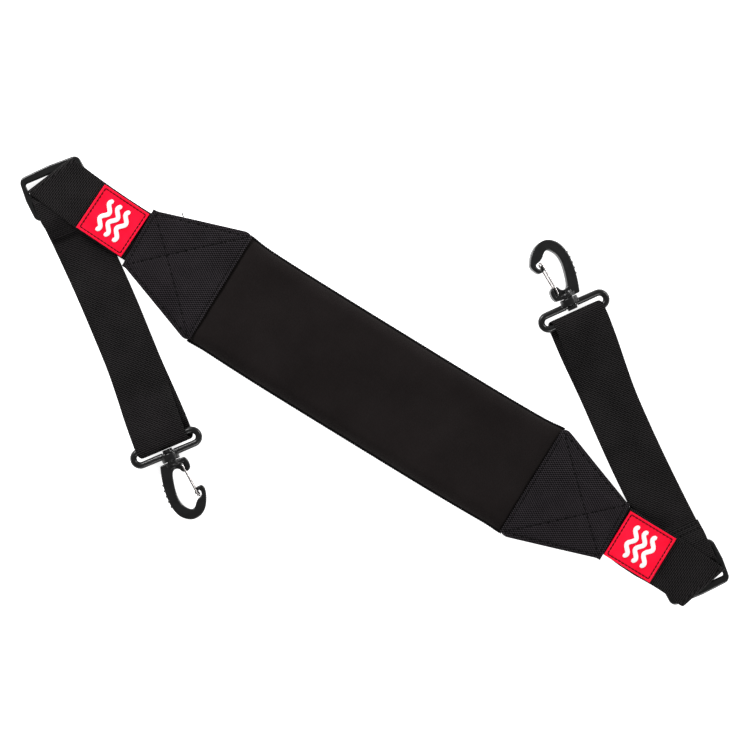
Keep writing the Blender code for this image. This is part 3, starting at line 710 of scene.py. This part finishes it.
def make_pad(knit):
    """The foam pad in its cover: puffed by a short cloth simulation, flat underneath."""
    reach = PAD_LENGTH / 2 + 5.0 * MM
    bm = bmesh.new()
    bmesh.ops.create_cube(bm, size=1.0)
    bmesh.ops.scale(bm, vec=(2 * reach, 2 * PAD_EDGE - 1.0 * MM, SHELL_THICK), verts=bm.verts)
    bmesh.ops.translate(bm, vec=(0, 0, SHELL_MIDDLE), verts=bm.verts)
    bmesh.ops.subdivide_edges(bm, edges=bm.edges, cuts=1)
    pad = add_object("pad_shell", mesh_from(bm, "pad_shell"))
    add_remesh(pad, SHELL_VOXEL)
    apply_modifiers(pad)
    rest = read_points(pad)
    puff(pad, rest)
    shape_pad(pad)
    subdivide = pad.modifiers.new("smooth", "SUBSURF")
    subdivide.levels = 1
    subdivide.render_levels = 1
    apply_modifiers(pad)
    dress(pad.data, knit)
    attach(pad, "pad")
    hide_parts("top_cover", "bottom_cover", "foam_core")


def apply_modifiers(obj):
    """Put the result of an object's modifiers into its mesh."""
    graph = bpy.context.evaluated_depsgraph_get()
    mesh = bpy.data.meshes.new_from_object(obj.evaluated_get(graph))
    obj.modifiers.clear()
    obj.data = mesh


def read_points(obj):
    points = np.zeros(len(obj.data.vertices) * 3)
    obj.data.vertices.foreach_get("co", points)
    return points.reshape(-1, 3)


def puff(obj, rest):
    """Cloth with pressure inside; the long edges and the ends stay sewn."""
    pins = obj.vertex_groups.new(name="sewn")
    for index, (x, y, _) in enumerate(rest):
        near_edge = PAD_EDGE - 1.2 * MM < abs(y)
        near_end = abs(x) > PAD_LENGTH / 2 - 0.5 * MM
        if near_edge or near_end:
            pins.add([index], 1.0, "REPLACE")
    cloth = obj.modifiers.new("cloth", "CLOTH")
    cloth.settings.vertex_group_mass = "sewn"
    cloth.settings.use_pressure = True
    cloth.settings.uniform_pressure_force = PUFF_PRESSURE
    cloth.settings.effector_weights.gravity = 0.0
    cloth.settings.quality = 6
    cloth.settings.tension_stiffness = 25
    cloth.settings.compression_stiffness = 25
    cloth.settings.bending_stiffness = 2.0
    scene = bpy.context.scene
    cloth.point_cache.frame_start = 1
    cloth.point_cache.frame_end = PUFF_FRAMES
    for step in range(1, PUFF_FRAMES + 1):
        scene.frame_set(step)
    apply_modifiers(obj)
    scene.frame_set(1)
    shift = read_points(obj) - rest
    size = np.linalg.norm(shift, axis=1, keepdims=True)
    shift *= PUFF_CAP * np.tanh(size / PUFF_CAP) / np.maximum(size, 1e-9)
    obj.data.vertices.foreach_set("co", (rest + shift).ravel())


def shape_pad(obj):
    """Press the puffed shape flat on the floor, thin it to its sewn edges and ends."""
    points = read_points(obj)
    for index in range(len(points)):
        x, y, z = points[index]
        edge = min(1.0, (PAD_EDGE + 0.4 * MM - abs(y)) / (9.0 * MM))
        round_edge = math.sin(math.pi / 2 * max(0.0, edge)) ** 0.6
        seam = max(0.0, PAD_LENGTH / 2 - abs(x))
        pinch = 0.62 + 0.38 * (1 - math.exp(-seam / (7.0 * MM)))
        ripple = wander(x, 1.0 + y / (26 * MM), 17 * MM) * 0.22 * MM
        crease = wander(y, 4.0, 7 * MM) * 0.5 * MM * math.exp(-seam / (8.0 * MM))
        top = (PAD_TOP + 0.6 * MM) * pinch * (0.34 + 0.66 * round_edge)
        fill = (z - SHELL_BOTTOM) / SHELL_THICK
        swell = max(0.0, min(1.15, fill))
        raised = swell * top + (ripple + crease) * swell
        underside = 0.15 * MM + 1.2 * MM * ease(1 - (seam - 2 * MM) / (5 * MM))
        points[index, 2] = max(underside, raised)
        inside = max(-1.0, min(1.0, y / PAD_EDGE))
        points[index, 1] = pad_bow(x) + inside * (pad_half(x) - 0.5 * MM)
    obj.data.vertices.foreach_set("co", points.ravel())
    obj.data.update()


def pad_half(x):
    """Half the pad's width; it flares a little where the patches hold it."""
    return PAD_HALF + 1.0 * MM * math.exp(-((130 * MM - abs(x)) / (9 * MM)) ** 2)


def pad_bow(x):
    """The pad lies in a slight curve between its two ends."""
    return -PAD_BOW * max(0.0, 1 - (abs(x) / (131 * MM)) ** 4)


def make_edge_seam(name, side, thread):
    """Overlock stitching: a thread wound round the pad's long edge, over a cord bead."""
    bm = bmesh.new()
    pitch, middle = 1.9 * MM, 1.75 * MM
    per_bead, per_loop = 6, 10
    count = int(PAD_LENGTH / pitch)
    span = PAD_LENGTH - 2 * MM
    bead = []
    radii = []
    for k in range(count * per_bead + 1):
        x = -span / 2 + span * k / (count * per_bead)
        wave = 0.5 + 0.5 * math.cos(2 * math.pi * k / per_bead)
        edge = pad_bow(x) + side * (pad_half(x) - 1.25 * MM + 0.1 * MM * wave)
        bead.append((x, edge, middle + wander(x, side, 20 * MM) * 0.1 * MM))
        radii.append((1.2 + 0.12 * wave) * MM)
    tube_into(bm, bead, radii, sides=10)
    loops = []
    for k in range(count * per_loop + 1):
        turn = 2 * math.pi * k / per_loop
        x = -span / 2 + span * k / (count * per_loop)
        centre = pad_bow(x) + side * (pad_half(x) - 1.35 * MM)
        y = centre + side * math.cos(turn) * 1.25 * MM
        z = middle + math.sin(turn) * 1.38 * MM
        loops.append((x, y, max(0.3 * MM, z)))
    tube_into(bm, loops, 0.22 * MM)
    seam = object_from(bm, name + "_stitching", thread)
    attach(seam, "pad")
    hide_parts(name)


# ---- patches

def patch_half(x):
    """Half-width of a patch at a distance from the pad's middle, with small corner ears."""
    half = PATCH_HALF - PATCH_TAPER * max(0.0, x - PATCH_TAPER_FROM)
    clipped = 1.3 * MM * max(0.0, 1 - (x - PATCH_INNER) / (3 * MM))
    ear = 1.0 * MM * math.exp(-((x - PATCH_EARS) / (2.2 * MM)) ** 2)
    return half - clipped + ear


def patch_lines():
    """Stitch lines in (x, y): a box inset from the edges, and the cross between its corners."""
    near, far = PATCH_INNER + 2.1 * MM, 194.4 * MM
    a = patch_half(near + 2 * MM) - STITCH_LINE_INSET
    b = patch_half(far - 4 * MM) - STITCH_LINE_INSET - 1.4 * MM
    corners = [(near, -a), (near, a), (far, b), (far, -b), (near, -a)]
    return [corners, [(near, -a), (far, b)], [(near, a), (far, -b)]]


def patch_height(x, y, up, lines):
    """Middle height of a panel; up is 1 for the upper panel and -1 for the lower."""
    t = max(0.0, min(1.0, (x - PATCH_START) / PATCH_LENGTH))
    v = max(-1.0, min(1.0, y / patch_half(x)))
    mid = PATCH_MID[0] + (PATCH_MID[1] - PATCH_MID[0]) * t
    lift = PATCH_LIFT[0] + (PATCH_LIFT[1] - PATCH_LIFT[0]) * t
    rise = PATCH_EDGE_LIFT + (lift - PATCH_EDGE_LIFT) * (1 - abs(v) ** 10)
    web_edge = WEB_WIDTH / 2 + 1.0 * MM - abs(y)
    rise += 0.35 * MM * ease(web_edge / (2.2 * MM)) * ease((t - 0.12) / 0.1)
    rise += 0.4 * MM * ease(1 - (x - PATCH_INNER - 0.8 * MM) / (1.0 * MM))
    dent = 0.0
    spot = Vector((x, y))
    for line in lines:
        for a, b in zip(line[:-1], line[1:]):
            run = Vector(b) - Vector(a)
            share = max(0.0, min(1.0, (spot - Vector(a)).dot(run) / run.length_squared))
            gap = (spot - Vector(a) - run * share).length
            dent = max(dent, math.exp(-(gap / (1.0 * MM)) ** 2))
    puff_up = wander(x + y * 0.7, 7.0 + y / (19 * MM), 15 * MM) * 0.25 * MM
    height = mid + up * (rise - 0.5 * MM * dent + puff_up)
    return max(height, 0.75 * MM)


def loose_thread(place):
    """A stray thread end that stands out past the long edge."""
    edge = patch_half(LOOSE_THREAD_X) - 0.8 * MM
    points = []
    for k in range(10):
        out = 0.3 * MM * k
        lean = 2.8 * MM * (k / 9) ** 1.5
        points.append(place(LOOSE_THREAD_X + lean, edge + out, PATCH_MID[1] + 0.3 * MM))
    return points


def make_patch(side_name, sign, fabric, thread):
    """The upper and lower panel of one patch, each with its box-and-cross stitching."""
    lines = patch_lines()
    across = spread(85)
    steps = 64
    end, slant = PATCH_ENDS[side_name]
    shift = PATCH_SHIFT[side_name]
    trim = PATCH_TRIM[side_name]

    def place(x, y, height):
        """Stretch x to the slanting narrow end, and turn the patch to its own side."""
        world_y = shift - sign * y
        world_y -= trim * (x / PATCH_OUTER) ** 4 * max(0.0, world_y) / PATCH_HALF
        t = (x - PATCH_INNER) / (PATCH_OUTER - PATCH_INNER)
        reach = PATCH_INNER + t * (end + slant * world_y - PATCH_INNER)
        return (sign * reach, world_y, height)

    for layer, up in (("upper", 1), ("lower", -1)):
        rows = np.zeros((steps + 1, len(across), 3))
        thick = np.zeros((steps + 1, len(across)))
        for i in range(steps + 1):
            x = PATCH_INNER + (PATCH_OUTER - PATCH_INNER) * i / steps
            half = patch_half(x)
            for j, v in enumerate(across):
                rows[i, j] = place(x, half * v, patch_height(x, half * v, up, lines))
                from_side = (1 - abs(v)) * half
                from_end = min(x - PATCH_INNER, PATCH_OUTER - x)
                hem = math.exp(-(min(from_side, from_end) / (2.6 * MM)) ** 4)
                thick[i, j] = (0.85 + 0.45 * hem) * MM
        panel = cloth_solid(f"{side_name}_{layer}_patch_panel", rows, thick, fabric, across)
        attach(panel, "pad")
        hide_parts(f"{side_name}_{layer}_patch")
        bm = bmesh.new()
        for line in lines:
            for (x0, y0), (x1, y1) in zip(line[:-1], line[1:]):
                points = []
                for k in range(41):
                    x = x0 + (x1 - x0) * k / 40
                    y = y0 + (y1 - y0) * k / 40
                    z = patch_height(x, y, up, lines) + up * 0.42 * MM
                    points.append(place(x, y, z))
                stitch_line(bm, points, Vector((0, 0, up)), 2.4 * MM, 0.8 * MM, 0.42 * MM)
        if side_name == "left" and up == 1:
            tube_into(bm, loose_thread(place), 0.36 * MM)
        stitches = object_from(bm, f"{side_name}_{layer}_patch_stitches", thread)
        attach(stitches, "pad")


# ---- webbing

# Heights of the lowest two layers, and where the layers on the slider slope down beyond it
FLOOR_LEVEL = FLOOR_GAP + WEB_THICK / 2
SECOND_LEVEL = FLOOR_LEVEL + WEB_PITCH
RAMP_TOP = 18.0 * MM
RAMP_END = 31.0 * MM
RAMP_SHIFT = WEB_PITCH * 0.24
LOOP_END = 35.0 * MM
SEWN_END = 32.0 * MM
SEWN_SLOPE = (level(2) - SECOND_LEVEL) / (LOOP_END - RAMP_TOP - RAMP_SHIFT)


def sewn_height(s):
    """Middle height of the strap's sewn end, which lies on top and slopes away."""
    return level(3) - (s - RAMP_TOP - 2 * RAMP_SHIFT) * SEWN_SLOPE


def strap_route(tail):
    """The strap's middle line, (along, up): through the slider, round the eye's bar, and back."""
    one, two, three = (level(k) for k in (1, 2, 3))
    bend = WEB_THICK / 2 + 0.6 * MM
    bar = tail.eye_bar
    turn = EYE_RADIUS + GAP + WEB_THICK / 2
    z = tail.swivel.z
    going = rounded([(-BAR_OUTER, FOLD_START, 0), (-BAR_OUTER, FLOOR_LEVEL, bend),
                     (BAR_OUTER, FLOOR_LEVEL, bend), (BAR_OUTER, one, bend),
                     (RAMP_TOP, one, 3 * MM), (RAMP_END - 2 * MM, FLOOR_LEVEL, 2 * MM),
                     (bar - 30 * MM, FLOOR_LEVEL, 25 * MM),
                     (bar - 9 * MM, z - turn, 25 * MM), (bar, z - turn, 0)])
    reach = turn + TURN_SLACK[tail.name]
    around = [Vector((bar + reach * math.sin(a), z - turn * math.cos(a)))
              for a in (math.pi * k / 16 for k in range(1, 16))]
    coming = rounded([(bar, z + turn, 0), (bar - 9 * MM, z + turn, 20 * MM),
                      (bar - 36 * MM, SECOND_LEVEL, 20 * MM), (LOOP_END, SECOND_LEVEL, 1 * MM),
                      (RAMP_TOP + RAMP_SHIFT, two, 3 * MM), (BAR_CLEAR, two, bend),
                      (BAR_CLEAR, SECOND_LEVEL, bend), (-BAR_CLEAR, SECOND_LEVEL, bend),
                      (-BAR_CLEAR, one, bend), (0.6 * MM, one, 1.2 * MM),
                      (4.6 * MM, three, 1.2 * MM), (RAMP_TOP + 2 * RAMP_SHIFT, three, 4 * MM),
                      (SEWN_END, sewn_height(SEWN_END), 0)])
    return walk([tuple(p) for p in going + around + coming], 0.9 * MM)


def make_strap(tail, webbing):
    """The doubled webbing of one tail, one cloth along its whole route."""
    bar = tail.eye_bar
    route = strap_route(tail)
    turn_at = int(np.argmax(route[:, 0]))
    back_at = turn_at + int(np.argmin(route[turn_at:, 0]))
    across = spread(17)
    rows = np.zeros((len(route), len(across), 3))
    change = 12.0
    for i, (s, up) in enumerate(route):
        upper = ease((i - turn_at + change / 2) / change)
        bow = TAIL_BOW[tail.name] * math.sin(math.pi * min(1, max(0, (s - 20 * MM) / (170 * MM))))
        apart = upper * -1.9 * MM * ease((s - 125 * MM) / (50 * MM))
        apart += (1 - upper) * 2.4 * MM * ease((s - 130 * MM) / (60 * MM))
        past_slider = ease((s - RAMP_TOP) / (6 * MM))
        skew = -tail.sign * 0.7 * MM * ease((i - back_at) / change) * past_slider
        drift = bow + apart + skew + wander(s, 2.0 + upper + tail.sign, 40 * MM) * 0.2 * MM
        free = ease((s - 45 * MM) / (15 * MM)) * ease((bar - 15 * MM - s) / (20 * MM))
        half = WEB_WIDTH / 2 + SLIDER_SPREAD * ease((24 * MM - s) / (6 * MM))
        for j, v in enumerate(across):
            point = tail.at(s, drift + v * half, up)
            point.z += free * 0.12 * MM * wander(s, 9.0 + v + upper, 22 * MM)
            rows[i, j] = point
    strap = cloth_solid(f"{tail.name}_strap", rows, WEB_THICK, webbing, across, WEB_WIDTH / 2)
    tail.at(40 * MM, 0, 0)
    tail.at(bar - 8 * MM, 0, 0)
    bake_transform(strap)
    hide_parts(f"{tail.name}_slider_pass_webbing", f"{tail.name}_lower_strand_webbing",
                f"{tail.name}_eye_turn_webbing", f"{tail.name}_upper_strand_webbing",
                f"{tail.name}_sewn_loop_webbing")


def make_tail_stitches(tail, thread):
    """Two rows across the strap's sewn end."""
    bm = bmesh.new()
    tilt = math.atan(SEWN_SLOPE)
    up = (Vector((0, 0, 1)) * math.cos(tilt) + tail.forward * math.sin(tilt)).normalized()
    for s in (26.5 * MM, 30.0 * MM):
        height = sewn_height(s) + WEB_THICK / 2 / math.cos(tilt) - 0.05 * MM
        ends = [tail.at(s, v * (WEB_WIDTH / 2 - 1.5 * MM), height) for v in (-1, 1)]
        stitch_line(bm, ends, up, 2.2 * MM, 0.5 * MM)
    tack = object_from(bm, f"{tail.name}_tail_stitches", thread)
    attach(tack, f"{tail.name}_adjuster")


def make_fold(tail, webbing):
    """Where the webbing leaves the slot and folds back, slanted, over the slider."""
    half = WEB_WIDTH / 2
    top = level(4)
    axis_up = top - FOLD_RADIUS
    cos, tan = math.cos(tail.fold_angle), math.tan(tail.fold_angle)
    axis_in = FOLD_ROLL / cos
    shift = FOLD_TURN * tan
    across = spread(21)
    rows = []
    for i in range(24):
        t = i / 24
        creep = tail.fold_creep * ease((t - 0.5) / 0.5)
        row = []
        for v in across:
            w = (half + SLIDER_SPREAD * (1 - ease((t - 0.4) / 0.4))) * v + creep
            outside = -tail.fold_reach - w * tan + axis_in - FOLD_RADIUS
            along = bezier(-BAR_OUTER, -BAR_OUTER, outside, outside, t)
            up = bezier(FOLD_START, FOLD_START + 3.7 * MM, axis_up - 2.2 * MM, axis_up, t)
            row.append(tail.at(along, w, up))
        rows.append(row)
    for i in range(13):
        angle = math.pi / 2 * i / 12
        inward = FOLD_ROLL - FOLD_RADIUS * math.cos(angle)
        up = axis_up + FOLD_RADIUS * math.sin(angle)
        sideways = shift * i / 12
        rows.append([fold_point(tail, inward, (half * v + tail.fold_creep) / cos + sideways, up)
                     for v in across])
    fold = cloth_solid(f"{tail.name}_fold_cloth", rows, WEB_THICK, webbing, across, half)
    fold_point(tail, 0, 0, top)
    fold_point(tail, 0, 0, FOLD_START)
    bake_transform(fold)
    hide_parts(f"{tail.name}_fold_webbing")


def make_pad_run(tail, webbing):
    """The webbing from the fold to the patch, and on inside it."""
    across = spread(21)
    steps = 60
    rows = []
    for i in range(steps + 1):
        t = i / steps
        centre, side = pad_run(tail, t)
        centre.y += RUN_SWAY[tail.name] * math.sin(math.pi * min(1.0, t / 0.6))
        centre.y += MOUTH_SWAY[tail.name] * ease((t - 0.75) / 0.2)
        rows.append([centre + side * v for v in across])
    inner_x = tail.sign * (PAD_LENGTH / 2 + 3 * MM)
    for i in range(1, 16):
        point = centre.copy()
        point.x = centre.x + (inner_x - centre.x) * i / 15
        rows.append([point + side * v for v in across])
    run = cloth_solid(f"{tail.name}_pad_strap", rows, WEB_THICK, webbing, across, WEB_WIDTH / 2)
    fold_end = pad_run(tail, 0.02)[0].x
    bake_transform(run)
    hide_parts(f"{tail.name}_pad_webbing")


# ---- labels

def label_matrix(tail):
    """On the sloping webbing beside the patch: local +X towards the pad, +Z off the webbing."""
    start_x, mouth_x = (pad_run(tail, t)[0].x for t in (0, 1))
    label_at = (start_x - tail.sign * LABEL_CENTRE) / (start_x - mouth_x)
    centre, side = pad_run(tail, label_at)
    ahead = pad_run(tail, label_at + 0.2)[0] - pad_run(tail, label_at - 0.2)[0]
    ahead.normalize()
    normal = ahead.cross(side).normalized()
    across = normal.cross(ahead)
    turn = Matrix((ahead, across, normal)).transposed().to_4x4()
    return Matrix.Translation(centre) @ turn @ Matrix.Rotation(LABEL_TURN[tail.name], 4, "Z")


def make_label(tail, place, red):
    """The rubber label, with a raised rim and a groove for its stitches."""
    positions = spread(49, 0.985)
    bm = bmesh.new()
    half_x, half_y = LABEL_LENGTH / 2, LABEL_WIDTH / 2
    top = []
    for u in positions:
        row = []
        for v in positions:
            x, y = half_x * u, half_y * v
            inset = min(half_x - abs(x), half_y - abs(y))
            rim = ease((1.45 * MM - inset) / (0.4 * MM)) * 0.3 * MM
            shoulder = 0.4 * MM * (1 - min(1.0, inset / (0.5 * MM))) ** 2
            groove = 0.22 * MM * math.exp(-((inset - LABEL_STITCH_INSET) / (0.45 * MM)) ** 2)
            row.append(bm.verts.new((x, y, LABEL_TOP + rim - shoulder - groove)))
        top.append(row)
    last = len(top) - 1
    low = {}
    for i, row in enumerate(top):
        for j, vertex in enumerate(row):
            if i in (0, last) or j in (0, last):
                low[i, j] = bm.verts.new((vertex.co.x, vertex.co.y, LABEL_BASE))
    for i in range(last):
        for j in range(last):
            bm.faces.new((top[i][j], top[i + 1][j], top[i + 1][j + 1], top[i][j + 1]))
    rim_loop = [(i, 0) for i in range(last)] + [(last, j) for j in range(last)]
    rim_loop += [(i, last) for i in range(last, 0, -1)] + [(0, j) for j in range(last, 0, -1)]
    for (i, j), (k, m) in zip(rim_loop, rim_loop[1:] + rim_loop[:1]):
        bm.faces.new((top[i][j], low[i, j], low[k, m], top[k][m]))
    bm.faces.new([low[spot] for spot in rim_loop])
    bmesh.ops.transform(bm, matrix=place, verts=bm.verts)
    label = object_from(bm, f"{tail.name}_rubber_label", red, 35)
    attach(label, "pad")
    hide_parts(f"{tail.name}_label")


def make_label_stitches(tail, place, thread):
    bm = bmesh.new()
    x, y = LABEL_LENGTH / 2 - LABEL_STITCH_INSET, LABEL_WIDTH / 2 - LABEL_STITCH_INSET
    corners = [(-x, -y), (x, -y), (x, y), (-x, y), (-x, -y)]
    normal = place.to_3x3() @ Vector((0, 0, 1))
    for (x0, y0), (x1, y1) in zip(corners, corners[1:]):
        ends = [place @ Vector((x0, y0, LABEL_TOP)), place @ Vector((x1, y1, LABEL_TOP))]
        stitch_line(bm, ends, normal, 2.6 * MM, 0.3 * MM, 0.34 * MM)
    stitches = object_from(bm, f"{tail.name}_label_stitches", thread)
    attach(stitches, "pad")


def make_waves(tail, place, white):
    """Three raised wave strokes, side by side."""
    bm = bmesh.new()
    span, height, stroke, raise_by, pitch = 24.0 * MM, 1.9 * MM, 1.6 * MM, 0.6 * MM, 7.0 * MM
    section = ((-1, -0.1), (-1, 0.7), (-0.88, 0.93), (-0.7, 1), (0.7, 1), (0.88, 0.93),
               (1, 0.7), (1, -0.1))
    steps = 48
    for row in (-1, 0, 1):
        rings = []
        for k in range(steps + 1):
            y = span * (k / steps - 0.5)
            x = row * pitch + height * math.sin(4 * math.pi * k / steps)
            slope = 4 * math.pi * height / span * math.cos(4 * math.pi * k / steps)
            across = Vector((1.0, -slope, 0.0)).normalized()
            centre = Vector((x, y, LABEL_TOP))
            end = min(k, steps - k) / 3
            wide = stroke * math.sqrt(max(0.0, 1 - max(0.0, 1 - end) ** 2)) + 0.02 * MM
            rings.append([bm.verts.new(centre + across * wide * a + Vector((0, 0, raise_by * b)))
                          for a, b in section])
        bridge(bm, rings)
        bm.faces.new(rings[0])
        bm.faces.new(rings[-1][::-1])
    bmesh.ops.transform(bm, matrix=place, verts=bm.verts)
    emblem = object_from(bm, f"{tail.name}_raised_waves", white, 40)
    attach(emblem, "pad")
    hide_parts(*(f"{tail.name}_wave_{row}" for row in (1, 2, 3)))


# ---- hardware

def fuller_crook(obj, tail):
    """Push the outside of a hook's crook out, more the further it is from the shank."""
    for vertex in obj.data.vertices:
        spot = vertex.co - tail.swivel
        along = spot.dot(tail.forward)
        side = spot.dot(tail.hook_side)
        past = max(0.0, side - CROOK_SIDE) * ease((along - CROOK_START) / CROOK_EASE)
        vertex.co += tail.hook_side * (CROOK_GROWTH * past)


def make_moulded(node, body, voxel, finish, slot, passes=6, swell=0.0, crook=None):
    """A moulded part: the frame's shape with its creases rounded over.

    A tail given as crook makes the crook of that tail's hook fuller."""
    obj = add_object(f"{node}_moulded", frame["nodes"][node].data.copy())
    add_remesh(obj, voxel)
    relax = obj.modifiers.new("relax", "SMOOTH")
    relax.factor = 0.5
    relax.iterations = passes
    apply_modifiers(obj)
    if swell:
        normals = [vertex.normal.copy() for vertex in obj.data.vertices]
        for vertex, normal in zip(obj.data.vertices, normals):
            vertex.co += normal * swell
    if crook is not None:
        fuller_crook(obj, crook)
    dress(obj.data, finish)
    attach(obj, body)
    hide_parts(node)


# ---- build

make_stage()
WEBBING = make_webbing_finish("black_webbing")
FABRIC = make_patch_finish()
KNIT = make_knit_finish()
THREAD = make_thread_finish()
RED = make_rubber_finish("red_rubber", (0.86, 0.0025, 0.026), (0.97, 0.0055, 0.040))
WHITE = make_rubber_finish("white_rubber", (0.80, 0.80, 0.80), (0.90, 0.90, 0.90))
PLASTIC = make_plastic_finish()
WIRE = make_wire_finish()

make_pad(KNIT)
make_edge_seam("front_edge_seam", -1, THREAD)
make_edge_seam("back_edge_seam", 1, THREAD)
for side_name in SIDES:
    side_tail = Tail(side_name)
    make_patch(side_name, side_tail.sign, FABRIC, THREAD)
    make_strap(side_tail, WEBBING)
    make_tail_stitches(side_tail, THREAD)
    make_fold(side_tail, WEBBING)
    run_webbing = make_webbing_finish(f"{side_name}_run_webbing", run_heading(side_tail))
    make_pad_run(side_tail, run_webbing)
    label_place = label_matrix(side_tail)
    make_label(side_tail, label_place, RED)
    make_label_stitches(side_tail, label_place, THREAD)
    make_waves(side_tail, label_place, WHITE)
    full_crook = side_tail if side_name == "right" else None
    for part, body, voxel, finish, slot, options in (
            ("slider", "adjuster", 0.3 * MM, PLASTIC, "moulded_plastic", {}),
            ("swivel_eye", "eye", 0.28 * MM, PLASTIC, "moulded_plastic", {}),
            ("snap_hook", "hook", 0.22 * MM, PLASTIC, "moulded_plastic",
             {"passes": 3, "crook": full_crook}),
            ("wire_gate", "gate", 0.13 * MM, WIRE, "gate_wire",
             {"passes": 2, "swell": 0.12 * MM})):
        make_moulded(f"{side_name}_{part}", f"{side_name}_{body}", voxel, finish, slot, **options)
